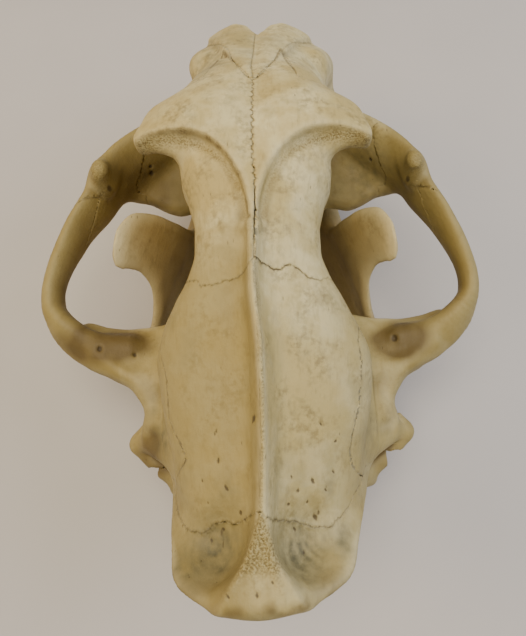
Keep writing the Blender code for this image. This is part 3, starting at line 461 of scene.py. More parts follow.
def socket_rear():
    """Bar that keeps the jaw's condyle from slipping back."""
    return rod([(27, 64.5, 48, 3, 5), (36, 63.5, 46, 2.6, 6), (46, 64.9, 46, 2.4, 5.5),
                (53.5, 67.8, 49.5, 2.2, 4.5)])


def condyle(room=0.0, play=0.0):
    """Barrel across the rear of the jaw, or with room and play the hollow that it turns in."""
    x, s, z = JAW_JOINT
    r = CONDYLE_RADIUS + room
    return rod([(x - 16 - play, s + 0.5, z - 2.5, r - 1.2), (x - 8 - play, s, z - 0.5, r),
                (x + 4 + play, s, z, r), (x + 12.5 + play, s + 2, z - 0.5, r - 1.4)])


def ramus_room():
    """Hollow over the notch of the jaw, in front of the condyle."""
    return rod([(42.5, s, z, 9.5, 6.5) for s, z in ((72, 40.5), (78, 44.5), (84, 47), (92, 51.5))])


show("jaw's condyle", condyle())

# %% Cheek arch and the floor of the orbit


def zygomatic_arch():
    """The cheek's arch, from the maxilla round to the jaw's socket."""
    out = ARCH_WIDTH / 2 - 2.9
    lean_in = (-.12, 0, 1)
    return rod([(32, 164, 64, 5, 10, (0, .3, 1)), (39.8, 156.6, 66, 4.8, 11.5, (.05, .3, 1)),
                (46.8, 149.8, 67.3, 4.6, 12, (.08, .2, 1)), (53.2, 142.6, 68.3, 4.4, 12, (.08, .15, 1)),
                (57.5, 135, 68.9, 3.9, 11.4, (.05, .1, 1)), (60.6, 127.3, 68.6, 3.7, 10.4, (.05, 0, 1)),
                (65.8, 118.7, 67.8, 3.5, 9.2, (0, 0, 1)), (69.6, 110.4, 66.8, 3.6, 8, (-.06, 0, 1)),
                (out - 2, 102.5, 65.4, 3.5, 7, lean_in), (out - .6, 95.5, 64, 3.4, 6.4, lean_in),
                (out - 1.2, 88.8, 62.2, 3.7, 7, (-.12, .12, 1)), (69.6, 82.4, 60.2, 4.5, 7.6, (-.12, .38, 1)),
                (64, 77.8, 58.6, 4.9, 7, (-.08, .6, 1)), (57, 75.6, 57.6, 5.2, 6, (0, .6, 1)),
                (48, 75, 56.6, 5.2, 5.5, (0, .6, 1))])


def jugal_process():
    """Blunt knob of the cheek bone behind the eye."""
    forward = (0, 1, 0)
    return rod([(56, 134.2, 75, 3.3, 5.8, forward), (56, 133.4, 80, 3.1, 4.7, forward),
                (55.3, 132.8, 83.8, 2.8, 3.6, forward)])


def orbit_floor():
    outline = [(18, 170), (34, 168), (44, 160), (52, 150), (56, 141), (52, 137.5), (46, 136.5),
               (40, 134), (34, 133), (26, 134.5), (14, 131)]

    def top(x, s):
        return 54 + 0.18 * (s - 132) + 0.22 * np.maximum(x - 38, 0)
    return plate(outline, lambda x, s: 46.5 + 0.35 * np.maximum(x - 36, 0) + 0 * s, top, (42, 72), edge=4)


def inner_orbit():
    """Wall between the two eye sockets."""
    width = [(118, 21), (128, 21), (138, 19.5), (148, 20), (158, 22)]
    top = [(118, 106), (138, 106), (158, 100)]
    return hull(width, top, [(118, 62), (158, 50)], 3.0)


show("cheek arch", zygomatic_arch())

# %% Snout


def muzzle():
    half = MUZZLE_WIDTH / 2
    width = [(s, half * share) for s, share in (
        (130, .62), (142, .76), (152, .91), (160, .98), (170, .985), (180, .985), (190, 1.0),
        (198, .98), (206, .90), (213, .74), (219, .53), (225, .47), (230, .42), (SKULL_LENGTH, .28))]
    top = [(130, 108), (142, 104.5), (150, 101.5), (160, 98), (170, 94.5), (180, 90), (190, 85.5),
           (198, 81), (204, 77), (210, 70.5), (218, 62), (226, 54), (SKULL_LENGTH, 48)]
    bottom = [(s, palate(s) + rise) for s, rise in ((130, 1), (190, 0), (220, 1), (SKULL_LENGTH, 2))]
    return hull(width, top, bottom, [(130, 2.6), (165, 2.5), (190, 2.45), (215, 2.3), (235, 2.2)])


def tooth_row_bone():
    """Bone round the roots of the cheek teeth."""
    return rod([(25.5, 199, palate(199) + 5, 6), (28.5, 190, palate(190) + 5, 6.3),
                (31, 180, palate(180) + 5, 6.3), (34, 169, palate(169) + 4.5, 6.3),
                (36.5, 157, palate(157) + 4, 6), (34.5, 148.5, palate(148) + 4, 5)])


def canine_root():
    return rod([(24, 209, 46, 7.2), (24.4, 203, 56, 7.2), (24, 195, 67, 6.4), (22.5, 186, 77, 5)])


def nasals():
    """Roof of the nose: two shallow domes, lobed and flared at the front."""
    outline = [(-1, 150), (0, 150), (3.5, 160), (9, 172), (12.5, 180), (15.5, 190), (18.8, 197),
               (21.6, 202.6), (16.8, 206.8), (10.4, 209.4), (4.8, 207), (1.6, 200), (-1, 197)]

    def top(x, s):
        ridge = along([(150, 106.2), (158, 102.6), (166, 98.6), (176, 93.4), (186, 88.6), (194, 84.8),
                       (200, 81.6), (208, 77.6)], s)
        side = along([(150, 3), (165, 9), (180, 16), (200, 21)], s)
        return ridge + 1.5 * np.sin(np.clip(x / side, 0, 1) * np.pi) - 0.008 * x ** 2
    return plate(outline, lambda x, s: top(x, s) - 6, top, (66, 108))


def nasal_notch():
    """Gap between the free ends of the nasal bones."""
    outline = [(-2, 196), (0, 196.6), (1.4, 201), (3, 206), (5, 211), (5, 217), (-2, 217)]
    return plate(outline, lambda x, s: 64 + 0 * x * s, lambda x, s: 92 + 0 * x * s, (64, 92), edge=.6)


def nose_opening():
    return rod([(4, 234, 60, 9), (5, 214, 62, 12), (5, 199, 64, 11.5), (5, 182, 66, 8)])


def cheek_canal():
    """Oval opening under the front of the orbit."""
    return rod([(41, 181, 72, 3.6, 5), (31, 168, 71, 3.4, 4.6), (30, 152, 70, 3.4, 4.6)])


show("snout", muzzle())

# %% Forehead and eye sockets


def forehead():
    """Flat top of the frontal bones, out to the rims of the orbits and back to the crest."""
    tip = PROCESS_WIDTH / 2
    outline = [(-3, 86), (0, 86), (.8, 95), (1.7, 102.5), (3.8, 110.6), (8.4, 118.4), (13.8, 123.8),
               (19.5, 126.4), (25.5, 127.6), (31, 127.8), (tip - .6, 126.4), (tip + .9, 128),
               (tip + .7, 131.4), (35.6, 135), (34.4, 139.4), (31.4, 143.8), (27.6, 147.4),
               (24.4, 151.5), (22.8, 157), (21.5, 164), (18, 172), (10, 172), (-3, 160)]

    def top(x, s):
        middle = along([(86, 109.8), (96, 109.4), (106, 110.2), (118, 111.2), (128, 111.4), (138, 110),
                        (148, 107.2), (158, 103.2), (172, 95.4)], s)
        dome = along([(90, 0), (106, .4), (120, 1.4), (135, 2), (150, 1.4), (170, .6)], s)
        edge = along([(88, 6), (106, 10), (116, 18), (126, 34), (140, 33), (148, 27), (155, 23),
                      (172, 20)], s)
        fall = along([(88, 0), (110, 1.2), (124, 4.5), (140, 5), (155, 5), (172, 6)], s)
        r = np.clip(np.abs(x) / edge, 0, 1.3)
        return middle + dome * np.sin(np.clip(r, 0, 1) * np.pi) - fall * r ** 2.6

    def bottom(x, s):
        return top(x, s) - along([(88, 7), (110, 8), (124, 6), (150, 9)], s)
    return plate(outline, bottom, top, (84, 115))


def postorbital_process():
    return rod([(20, 130.5, 102, 8, 6), (28, 129.8, 103, 5, 4.2), (33.4, 128.6, 102.6, 2.6, 3.2)])


def eye_socket():
    return ball((35, 143.5, 84.5), (17, 16.5, 15.5), turn=12)


show("forehead", forehead())

# %% The cranium as one form


def cranium_form(step):
    """Half of the cranium, from the mid plane to the skull's side."""
    form = Form((0, -8, 22), (84, SKULL_LENGTH + 5, 118), step)
    form.join(braincase())
    for body, k in ((occiput(), 6), (skull_base(), 8), (squamosal(), 10), (inner_orbit(), 8),
                    (muzzle(), 8)):
        form.join(body, k)
    form.carve(eye_socket(), 3)
    for body, k in ((forehead(), 2.5), (postorbital_process(), 4), (orbit_floor(), 7),
                    (tooth_row_bone(), 6), (canine_root(), 6), (nasals(), 2.5), (sagittal_crest(), 4),
                    (nuchal_crest(), 7), (zygomatic_arch(), 6), (jugal_process(), 5),
                    (jaw_socket(), 5), (socket_rear(), 3), (shelf_ridge(), 5), (mastoid(), 4),
                    (mastoid_foot(), 1.5), (ear_bulla(), 3), (paroccipital(), 4),
                    *((seat, 3) for seat in condyles())):
        form.join(body, k)
    foramen_magnum = ball((0, 20, 57.5), (10.5, 16, 7.5))
    pocket = ball((13, 16, 90), (7, 8.5, 6.8))
    roof_of_mouth = ball((0, 180, 32), (20, 46, 14.5))
    ear_canal = rod([(44, 53.5, 44, 2.6), (30, 51, 44, 2.6)])
    for body, k in ((foramen_magnum, 2), (pocket, 4), (nose_opening(), 2), (nasal_notch(), 1.5),
                    (cheek_canal(), 1.5), (roof_of_mouth, 4), (ear_canal, 1),
                    (condyle(room=1.6, play=3.2), 0.5), (ramus_room(), 0.5)):
        form.carve(body, k)
    return form


print("a coarse try at 6 mm has", int((cranium_form(6.0).distance < 0).sum()), "points in the bone")

# %% The lower jaw as one form
JAW_OUTLINE = [(226, 28), (224, 20), (217.5, 9), (208, 3.4), (197, 1.2), (185, -.7), (168, -.9),
               (150, .6), (130, 1.2), (113, -.6), (98, -2.8), (87, -1), (79, 5), (72, 9.5), (69.3, 12.5),
               (71, 16), (77, 21), (79.5, 30), (76.5, 37), (74, 42), (78, 45.5), (84.5, 49.5), (91, 55.5),
               (95.5, 63), (97, 70), (95.8, 75.4), (94.8, 78.8), (95.8, 82), (99.6, 84.7), (107.6, 86.5),
               (115.4, 83), (119.6, 74.5), (122.2, 64.5), (125, 54), (128.4, 45.5), (133, 37.5),
               (140, 32.5), (150, 31), (170, 30.5), (190, 29.5), (204, 29), (214, 30.5), (222, 31.5)]


def jaw_middle(s, z):
    """How far out the middle of the jaw bone lies."""
    body = along([(60, 43.5), (75, 43), (90, 40.5), (110, 35.5), (130, 30.8), (150, 26.6), (170, 22.2),
                  (185, 17.7), (195, 14), (205, 11), (215, 9), (226, 7)], s)
    swing = along([(30, 0), (40, -.6), (50, -1.7), (58, -1.3), (66, .4), (74, 2.9), (80, 5.6), (86, 8.2)], z)
    return body + swing * along([(75, .5), (90, 1), (150, 1)], s)


def jaw_blade():
    p = curve_through(JAW_OUTLINE, closed=True)

    def distance(x, s, z):
        half = along([(75, 3), (88, 2), (96, 1.8), (108, 2), (118, 2.8), (126, 3.8), (136, 5),
                      (150, 6.0), (170, 6.2), (185, 6.4), (200, 7.5), (212, 8), (226, 6)], s)
        thick_rim = along([(0, .4), (8, 1), (14, 1), (32, 0)], z)
        half = half + thick_rim * along([(70, 1.4), (95, 2.2), (110, 2.6), (128, 1.6), (150, 0),
                                         (230, 0)], s)
        across = np.abs(x - jaw_middle(s, z)) - half
        flat = outline_distance(s, z, p)
        return meet(across, flat + 0 * across, 6.0)
    low = (-2, p[:, 0].min(), p[:, 1].min())
    return np.array(low), np.array((58, p[:, 0].max(), p[:, 1].max())), distance


def jaw_form(step):
    form = Form((-3, 62, -4), (64, 234, 92), step)
    form.join(jaw_blade())
    form.join(condyle(), 4)
    angle = rod([(38, 80, 20, 3), (42, 74, 15.5, 3.4), (43.5, 71, 13.5, 2.8)])
    fang_root = rod([(9.5, 206, 11, 7), (11.5, 214, 20, 7), (13, 217.5, 27, 6.2)])
    muscle_pit = ball((46.3, 104, 38), (6, 17, 24), turn=4)
    form.join(angle, 4)
    form.join(fang_root, 6)
    form.carve(muscle_pit, 4)
    form.trim(lambda x, s, z: GAP / 2 - x + 0 * s * z)
    form.trim(lambda x, s, z: -z + 0 * x * s)
    return form


show("jaw bone", jaw_blade())

# %% [markdown]
# ## Where one bone ends
# A skull is a jigsaw: its bones meet in sutures that wander and interlock, so that they can't slip.
# Each bone is the cranium's form cut down to the place where a few suture functions say that it
# lies. Negative means on this side of the suture. The knots follow the photograph's own lines.

# %% Sutures as functions of place


def wiggle(t, height, length, phase=0.0):
    """Uneven zigzag along t: three sine waves whose lengths don't divide one another."""
    w = 2 * np.pi / length
    return height * (np.sin(w * t + phase) + .6 * np.sin(2.3 * w * t + 1.7 * phase + 1)
                     + .4 * np.sin(4.1 * w * t + 2.9 * phase + 2)) / 2


def coronal(x, s, z):
    """Negative in front of the suture between the frontal and parietal bones."""
    line = along([(-22.3, 84), (-16.7, 82), (-12.3, 84.4), (-9.6, 86.2), (-6.8, 84.3), (-1.8, 85.4),
                  (1.8, 83.7), (4.2, 82.7), (11.6, 81.2), (16, 81.1), (17.3, 83.6), (22, 84)], x)
    return line + .15 * (100 - z) + wiggle(x + .4 * z, .45, 5.3) - s


def lambdoid(x, s, z):
    """Negative behind the suture between the parietals and the occipital bone."""
    line = along([(-26, 24), (-22, 20.4), (-19.6, 19.1), (-17.8, 17.6), (-12.5, 18.1), (-9.4, 19.3),
                  (-3.6, 20.4), (0, 22.5), (6.6, 19.7), (8.9, 20.4), (12.7, 19.6), (16, 17.8),
                  (18.8, 18.1), (26, 22)], x)
    low = 29.6 + .3 * (60 - z)
    return s - line - (low - 20) * along([(62, 1), (80, 0)], z) - wiggle(x + .7 * z, .35, 4.7, 2)


def brow(x, s, z):
    """Negative in front of the suture between the frontals and the snout, with its two long tips."""
    line = along([(-31, 148), (-24, 150), (-14.5, 151.3), (-13.6, 156.3), (-9.6, 177.2), (-6.5, 162.4),
                  (-1.5, 150.5), (0, 149), (1.5, 150.5), (7.4, 164.9), (11.5, 181.4), (15.4, 162),
                  (17, 154), (24, 150), (31, 148)], x)
    deep = along([(44, 125), (50, 127.5), (54, 130.5), (60, 135.5), (86, 150)], z)
    blend = along([(82, 0), (89, 1)], z)
    return blend * line + (1 - blend) * deep + wiggle(x + .3 * s, .25, 3.1, 4) - s


def cheek_front(x, s, z):
    """Negative behind the suture between the upper jaw bone and the cheek bone."""
    out = np.abs(x)
    line = along([(46, 146), (60, 138.5), (70, 146), (80, 156.5)], z) + .25 * (out - 48)
    return np.maximum(s - line - wiggle(z, .4, 5.1, 1), 46.5 + .35 * (140 - s) - out)


def cheek_rear(x, s, z):
    """Negative in front of the suture across the cheek's arch, which passes behind the high point."""
    out = np.abs(x)
    line = np.minimum(1.19 * z + 37.5, 129.4 - .57 * (out - 53.6))
    return np.maximum(line + wiggle(z + x, .4, 6.1, 3) - s, 40 - out)


print("coronal suture at the mid plane: s =", round(float(coronal(0., 0., 104.)), 1), "mm")

# %% [markdown]
# ## Reading off the skin
# The skin gets one point in each grid cell that it crosses, at the mean of its crossings, and one
# square for each grid line. Such a net rounds every edge off. So each point is then moved onto the
# bone's surface, and points near a suture onto both surfaces at once, which keeps that edge sharp.

# %% Surface net
CUBE = [(i, j, k) for i in (0, 1) for j in (0, 1) for k in (0, 1)]   # corners of a grid cell


def settle(v):
    """Fill grid squares that are solid at two opposite corners only, where a surface would pinch."""
    for first, second in ((0, 1), (0, 2), (1, 2)) * 3:
        w = np.moveaxis(v, (first, second), (0, 1))
        corner = (w[:-1, :-1], w[1:, 1:], w[1:, :-1], w[:-1, 1:])
        a, b, c, d = (q < 0 for q in corner)
        pinched = (a & b & ~c & ~d) | (~a & ~b & c & d)
        for q in corner:
            q[pinched] = np.minimum(q[pinched], -0.1)


def volume(points, faces):
    """Volume inside squares, negative where they face inwards."""
    a, b, c, d = (points[faces[:, i]] for i in range(4))
    return float((np.cross(b - a, c - a) * a + np.cross(c - a, d - a) * a).sum() / 6)


def surface(form):
    """Points and outward faces of the zero surface: one point in each grid cell that it crosses."""
    v = np.pad(form.distance, 1, constant_values=FAR)
    settle(v)
    inside = v < 0
    n = np.array(v.shape) - 1
    count = sum(inside[i:i + n[0], j:j + n[1], k:k + n[2]].astype(np.int8) for i, j, k in CUBE)
    cells = np.argwhere((count > 0) & (count < 8))
    number = np.full(n, -1)
    number[tuple(cells.T)] = np.arange(len(cells))
    value = {c: v[tuple((cells + c).T)] for c in CUBE}
    total, hits = np.zeros((len(cells), 3)), np.zeros(len(cells))
    for c in CUBE:
        for axis in (m for m in range(3) if not c[m]):
            step = np.eye(3)[axis]
            a, b = value[c], value[tuple((np.array(c) + step).astype(int))]
            crossed = (a < 0) != (b < 0)
            t = np.where(crossed, a / np.where(crossed, a - b, 1), 0)
            total += crossed[:, None] * (np.array(c) + t[:, None] * step)
            hits += crossed
    start = np.array([a[0] for a in form.axes]) - form.step
    points = start + (cells + total / hits[:, None]) * form.step
    faces = []
    for axis in range(3):
        o = [m for m in range(3) if m != axis]
        a, b = inside.take(range(n[axis]), axis), inside.take(range(1, n[axis] + 1), axis)
        for turned, hit in ((False, a & ~b), (True, b & ~a)):
            edge = np.argwhere(hit)
            quad = []
            for d0, d1 in ((1, 1), (0, 1), (0, 0), (1, 0)):
                cell = edge.copy()
                cell[:, o[0]] -= d0
                cell[:, o[1]] -= d1
                quad.append(number[tuple(cell.T)])
            quad = np.stack(quad, 1)
            faces.append(quad[:, ::-1] if turned != (axis == 1) else quad)
    faces = np.concatenate(faces)
    return points, faces if volume(points, faces) > 0 else faces[:, ::-1]


print("the 4 mm ball's skin has", len(surface(trial)[0]), "points")

# %% Moving points onto the true surface


def read_grid(grid, axes, p):
    """Value of a grid at points, by trilinear interpolation."""
    step = axes[0][1] - axes[0][0]
    q = (p - np.array([a[0] for a in axes])) / step
    q = np.clip(q, 0, np.array(grid.shape) - 1.001)
    i = q.astype(int)
    f = q - i
    total = np.zeros(len(p))
    for c in CUBE:
        weight = np.prod(np.where(c, f, 1 - f), axis=1)
        total += weight * grid[tuple((i + c).T)]
    return total


def slope_at(value, p, h=0.25):
    """Value and gradient of a function at points, from central differences."""
    shift = np.eye(3) * h
    return value(p), np.stack([(value(p + d) - value(p - d)) / (2 * h) for d in shift], 1)


def sharpen(points, skin, cut, step):
    """Move points onto skin = 0, onto cut = 0, or onto both where they are near both."""
    p = points.copy()
    for _ in range(3):
        a, ga = slope_at(skin, p)
        b, gb = slope_at(cut, p)
        aa, bb, ab = (ga * ga).sum(1) + 1e-6, (gb * gb).sum(1) + 1e-6, (ga * gb).sum(1)
        da, db = np.abs(a) / np.sqrt(aa), np.abs(b) / np.sqrt(bb)
        det = aa * bb - ab * ab
        both = (da < step * .75) & (db < step * .75) & (det > .15 * aa * bb)
        det = np.where(both, det, 1)
        on_both = -(((a * bb - b * ab) / det)[:, None] * ga + ((b * aa - a * ab) / det)[:, None] * gb)
        on_one = np.where((da < db)[:, None], -(a / aa)[:, None] * ga, -(b / bb)[:, None] * gb)
        move = np.where(both[:, None], on_both, on_one)
        size = np.linalg.norm(move, axis=1, keepdims=True)
        p += move * np.minimum(1, step * .6 / (size + 1e-9))
    return p


print("the ball's grid reads", read_grid(trial.distance, trial.axes, np.array([[2.5, 0, 0]])), "at 2.5 mm")

# %% [markdown]
# ## From points to a piece
# No real skull is even: this one's snout and crest lean to its right. That lean is a smooth shift of
# every point, so bones that meet keep meeting.

# %% The lean, and writing a mesh


def lean(s, z):
    """How far a point leans to the skull's right, since no real skull is quite even."""
    snout = along([(145, 0), (200, 1)], s) * along([(68, 1), (80, 0)], z)
    rear = along([(0, .25), (10, .25), (28, .85), (45, 1), (58, .9), (76, 0)], s)
    crest = along([(5, 0), (30, 1), (55, 1), (80, 0)], s) * along([(94, 0), (104, 1)], z)
    return SNOUT_LEAN * snout + REAR_LEAN * rear + CREST_LEAN * crest


def leaned(p, share):
    """Points moved sideways by a share of the lean: 1 takes it off, and -1 puts it on."""
    return np.stack([p[:, 0] + share * lean(p[:, 1], p[:, 2]), p[:, 1], p[:, 2]], 1)


def to_frame(p):
    """Millimetres in (x, s, z) to the frame's metres."""
    return (leaned(p, -1) * [1, -1, 1] + [0, CENTRE_S, 0]) * MM


def write_piece(name, place, faces, marks):
    """One closed mesh at the origin. place is in metres, and marks are a number for each point."""
    mesh = bpy.data.meshes.new(name)
    mesh.from_pydata(place.tolist(), [], faces)
    for label, values in marks.items():
        layer = mesh.attributes.new(label, "FLOAT", "POINT")
        layer.data.foreach_set("value", np.asarray(values, np.float32))
    obj = bpy.data.objects.new(name, mesh)
    bpy.context.scene.collection.objects.link(obj)
    mesh.shade_smooth()
    return obj


def point_normals(p, faces):
    """Mean of the normals of the squares round each point."""
    a, b, c, d = (p[faces[:, i]] for i in range(4))
    flat = np.cross(c - a, d - b)
    n = np.zeros_like(p)
    for i in range(4):
        for axis in range(3):
            n[:, axis] += np.bincount(faces[:, i], flat[:, axis], len(p))
    return n / (np.linalg.norm(n, axis=1, keepdims=True) + 1e-12)


print("the snout leans by", float(lean(SKULL_LENGTH, 50.0)), "mm")

# %% [markdown]
# ## The grid for the fine skin
# The plain bones were read off at 1.5 mm. Here the step is 0.6 mm, about two pixels of the
# photograph where the skull is nearest to the camera.

# %% Work out the cranium once
STEP = 0.6
cranium = cranium_form(STEP)
half_grid = cranium.distance
mid_index = int(np.argmin(np.abs(cranium.axes[0])))
whole_grid = np.concatenate([half_grid[:mid_index:-1], half_grid[mid_index:]])
whole_axes = [np.concatenate([-cranium.axes[0][:mid_index:-1], cranium.axes[0][mid_index:]]),
              cranium.axes[1], cranium.axes[2]]
print("cranium grid", whole_grid.shape, "at", STEP, "mm")


def skin(p):
    return read_grid(whole_grid, whole_axes, p)


# %% Cutting one bone from the cranium
SUTURE_LAP = 0.04           # bones reach into each other by this, so that no slit shows


def bone(cut, low, high):
    """Points and faces of the cranium where cut(x, s, z) is negative, inside the box low to high."""
    inside = [slice(*np.searchsorted(a, [l, h])) for a, l, h in zip(whole_axes, low, high)]
    axes = [a[c] for a, c in zip(whole_axes, inside)]
    x, s, z = axes[0][:, None, None], axes[1][None, :, None], axes[2][None, None, :]

    def true_cut(x, s, z):
        return cut(x - lean(s, z), s, z) - SUTURE_LAP / 2

    body = Form(low, high, STEP)
    body.axes = axes
    edge = np.broadcast_to(true_cut(x, s, z), [len(a) for a in axes])
    body.distance = np.maximum(whole_grid[tuple(inside)], edge).astype(np.float32)
    points, faces = surface(body)
    points = sharpen(points, skin, lambda p: true_cut(*p.T), STEP)
    return largest(points, faces)


def largest(points, faces):
    """Keep the biggest connected piece: labels spread along edges until they stop changing."""
    label = np.arange(len(points))
    while True:
        low = label[faces].min(1)
        new = label.copy()
        np.minimum.at(new, faces.ravel(), np.repeat(low, 4))
        new = new[new]
        if np.array_equal(new, label):
            break
        label = new
    keep = label == np.bincount(label).argmax()
    number = np.cumsum(keep) - 1
    return points[keep], number[faces[keep[faces[:, 0]]]]


print("neighbouring bones overlap by", SUTURE_LAP, "mm")

# %% [markdown]
# ## Relief that the grid is too coarse for
# Old bone is not smooth: muscle scars are granular, small vessels leave pits, and a few sutures are
# open cracks. Each point is moved along its normal by a few millimetre-sized noises. The noise is
# a grid of random numbers, blended smoothly, so it is the same on every run.

# %% Smooth noise


def noise(p, size, seed=0):
    """Value noise from -1 to 1 with the given size in mm: random corners, blended smoothly."""
    q = p / size + 37.1 * seed
    i = np.floor(q).astype(np.int64)
    f = q - i
    f = f * f * (3 - 2 * f)
    total = np.zeros(len(p))
    for c in CUBE:
        h = (i + c) @ np.array([73856093, 19349663, 83492791]) + seed * 2654435761
        h = (h ^ (h >> 13)) * 1274126177
        value = ((h ^ (h >> 16)) & 65535) / 32767.5 - 1
        total += value * np.prod(np.where(c, f, 1 - f), axis=1)
    return total


def near_line(p, knots, width):
    """1 on a line through (x, s) knots seen from above, falling to 0 at width from it."""
    line = curve_through(knots, 6)
    best = np.full(len(p), 1e9)
    for a, b in zip(line[:-1], line[1:]):
        e = b - a
        t = np.clip(((p[:, :2] - a) @ e) / (e @ e), 0, 1)
        best = np.minimum(best, ((p[:, :2] - a - t[:, None] * e) ** 2).sum(1))
    return np.clip(1 - np.sqrt(best) / width, 0, 1)


def blot(p, centre, radii):
    """1 at a centre, falling off smoothly over the radii."""
    return np.exp(-(((p - centre) / radii) ** 2).sum(1))


print("noise at the origin:", round(float(noise(np.zeros((1, 3)), 2.0)[0]), 3))

# %% [markdown]
# ## The remaining sutures
# The squamous suture is the low arc on the side of the braincase that bounds the temporal bone.
# The frontals meet in a fine zigzag on the mid plane, which has opened to a dark crack behind the
# forehead, and the nasals meet in a straight line. Left and right differ a little, as in the photo.

# %% Squamous, middle and nasal sutures
SQUAMOUS_LEFT = [(26, 66), (33.7, 79.3), (35.1, 81.6), (36.8, 82.7), (40.4, 82.3), (46.7, 80.8),
                 (52.6, 83), (60.9, 85), (66, 84.4), (74, 79), (82, 70), (88, 60), (96, 30)]
SQUAMOUS_RIGHT = [(28, 56), (30, 62), (30.8, 75), (33, 79.9), (36.6, 81.4), (43, 82.6), (48.9, 83.2),
                  (52.7, 84.2), (59.4, 85.2), (66, 87), (72, 84), (82, 71), (88, 60), (96, 30)]
MIDDLE = [(79, -.3), (91, -.4), (108, -.6), (118, 0), (149, 0), (160, .8), (185, .8), (205, .6)]


def squamous(x, s, z):
    """Negative in the temporal bone: below its arc, out along the arch, and round the ear."""
    arc = np.where(x > 0, along(SQUAMOUS_LEFT, s), along(SQUAMOUS_RIGHT, s)) + wiggle(s, .15, 4.3, 5)
    inner = along([(30, 12), (50, 12), (60, 18), (90, 18)], z)
    return np.maximum(np.minimum(z - arc, 38 - np.abs(x)), inner - np.abs(x))


def middle(x, s, z):
    """Negative on the skull's right. It zigzags over the forehead and opens behind it."""
    zigzag = wiggle(s, .7, 2.9, 1) * along([(104, .15), (112, 1), (146, 1), (150, .15)], s)
    return x - along(MIDDLE, s) - zigzag * along([(96, 0), (101, 1)], z)


def crack(s, z):
    """How wide the middle suture stands open."""
    return along([(88, 0), (91, .2), (97, .36), (103, .34), (108, .16), (113, .04), (150, 0)], s)


def nasal_side(x, s, z):
    """Negative in the nasal bones."""
    half = along([(148, 0), (165, 7.2), (178, 10.4), (187, 14), (193, 17.6), (200, 22)], s)
    floor = along([(150, 98), (175, 82), (200, 66)], s)
    return np.maximum(np.abs(x) - half - wiggle(s, .2, 2.9, 2), floor - z)


def cheek(x, s, z):
    return np.maximum(cheek_front(x, s, z), cheek_rear(x, s, z))


print("behind the forehead the middle suture is", float(crack(97.0, 0.0)), "mm open")

# %% Bones as regions between the sutures
CHEEK_LAP = 0.3             # the cheek bone reaches over its neighbours' edges by this
CHEEK_PROUD = 0.04          # and there its skin lies this far over theirs


def cheek_lapped(x, s, z):
    return cheek(x, s, z) - CHEEK_LAP


def all_of(*cuts):
    """Region inside every one of the cuts."""
    def region(x, s, z):
        out = cuts[0](x, s, z)
        for cut in cuts[1:]:
            out = np.maximum(out, cut(x, s, z))
        return out
    return region


def not_in(cut):
    return lambda x, s, z: -cut(x, s, z)


def left(x, s, z):
    return crack(s, z) / 2 - middle(x, s, z)


def right(x, s, z):
    return crack(s, z) / 2 + middle(x, s, z)


def across(x, s, z):
    """Negative on the skull's right, without the middle suture's zigzag."""
    return x


BONES = {
    "occipital": (lambdoid, (-40, -8, 22), (40, 42, 102), "occipital"),
    "braincase": (all_of(not_in(squamous), not_in(lambdoid), not_in(coronal)),
                  (-40, 14, 26), (40, 100, 116), "braincase")}
# a paired bone's cuts, its halves, the corners of its box on the left, and its node
PAIRS = {
    "temporal": ((squamous, not_in(lambdoid), not_in(cheek), not_in(brow)), (not_in(across), across),
                 (8, 20, 22), (82, 134, 96), "temporal_{}"),
    "frontal": ((coronal, not_in(brow), not_in(squamous)), (left, right),
                (-4, 80, 40), (44, 186, 118), "frontal"),
    "nasal": ((brow, nasal_side), (left, right), (-4, 145, 60), (30, 214, 110), "muzzle"),
    "maxilla": ((brow, not_in(nasal_side), not_in(cheek)), (left, right),
                (-4, 120, 30), (60, 240, 108), "muzzle"),
    "zygomatic": ((cheek_lapped,), (not_in(across), across), (38, 95, 40), (82, 170, 96), "zygomatic_{}")}
for kind, (cuts, halves, low, high, node) in PAIRS.items():
    mirrored = (-high[0], *low[1:]), (-low[0], *high[1:])
    for word, half, box in zip(("left", "right"), halves, ((low, high), mirrored)):
        BONES[f"{kind}_{word}"] = (all_of(*cuts, half), *box, node.format(word))
print(len(BONES), "bones in the cranium")

# %% [markdown]
# ## Marks for the finish
# The finish has to know what it lies on: thin ridges are rubbed pale, hollows are painted with brown
# shade, the cheek arches and eye sockets are ochre stain with painted shade, and the pockets at the
# back are greyish green. Each point gets a few numbers for that. How hollow a place is comes from the
# distance grid: six millimetres out from a flat face the distance is six, and in a pocket it is less.

# %% Where the ridges, stains, painted shade and vessel holes lie
# lines seen from above, as (x, s): the ridge from the tip over the eye to the crest, the crest
# itself, the grooves between the nasals and the frontals, and the sides of the triangle at the back
RIDGE = [(35.6, 127), (31, 127.8), (25.5, 127.6), (19.5, 126.4), (13.8, 123.8), (8.4, 118.4),
         (3.8, 110.6), (1.7, 102.5), (.8, 95)]
BEHIND_RIDGE = [(x + .7, s - 1.6) for x, s in RIDGE]
CREST_LINE = [(-.3, 92), (-1.1, 82), (-2, 70), (-2.1, 56), (-1.8, 43), (-1.3, 34), (-1, 27), (-.5, 21)]
# the line beside the crest on its left, where the crest's shadow is painted as a dark line
CREST_SHADOW_LINE = [(x + 1, s) for x, s in CREST_LINE]
CLEFT = [(53.4, 130), (54.2, 128.4), (58, 126.4), (64, 123)]   # behind the cheek bone's knob
NASAL_GROOVES = [[(15.2, 161.4), (12.6, 180)], [(12.4, 180), (7.3, 164)], [(-6.9, 162.5), (-9.4, 177.4)],
                 [(-9.4, 177.4), (-11.7, 163.1), (-14.2, 154.9)]]
REAR_SIDES = [[(-.5, 20), (1.1, 14.8), (3.3, 11.2), (5.4, 8), (8.2, 5.3)],
              [(-.5, 20), (-2.6, 14.7), (-3.4, 10), (-5.2, 5.5)]]
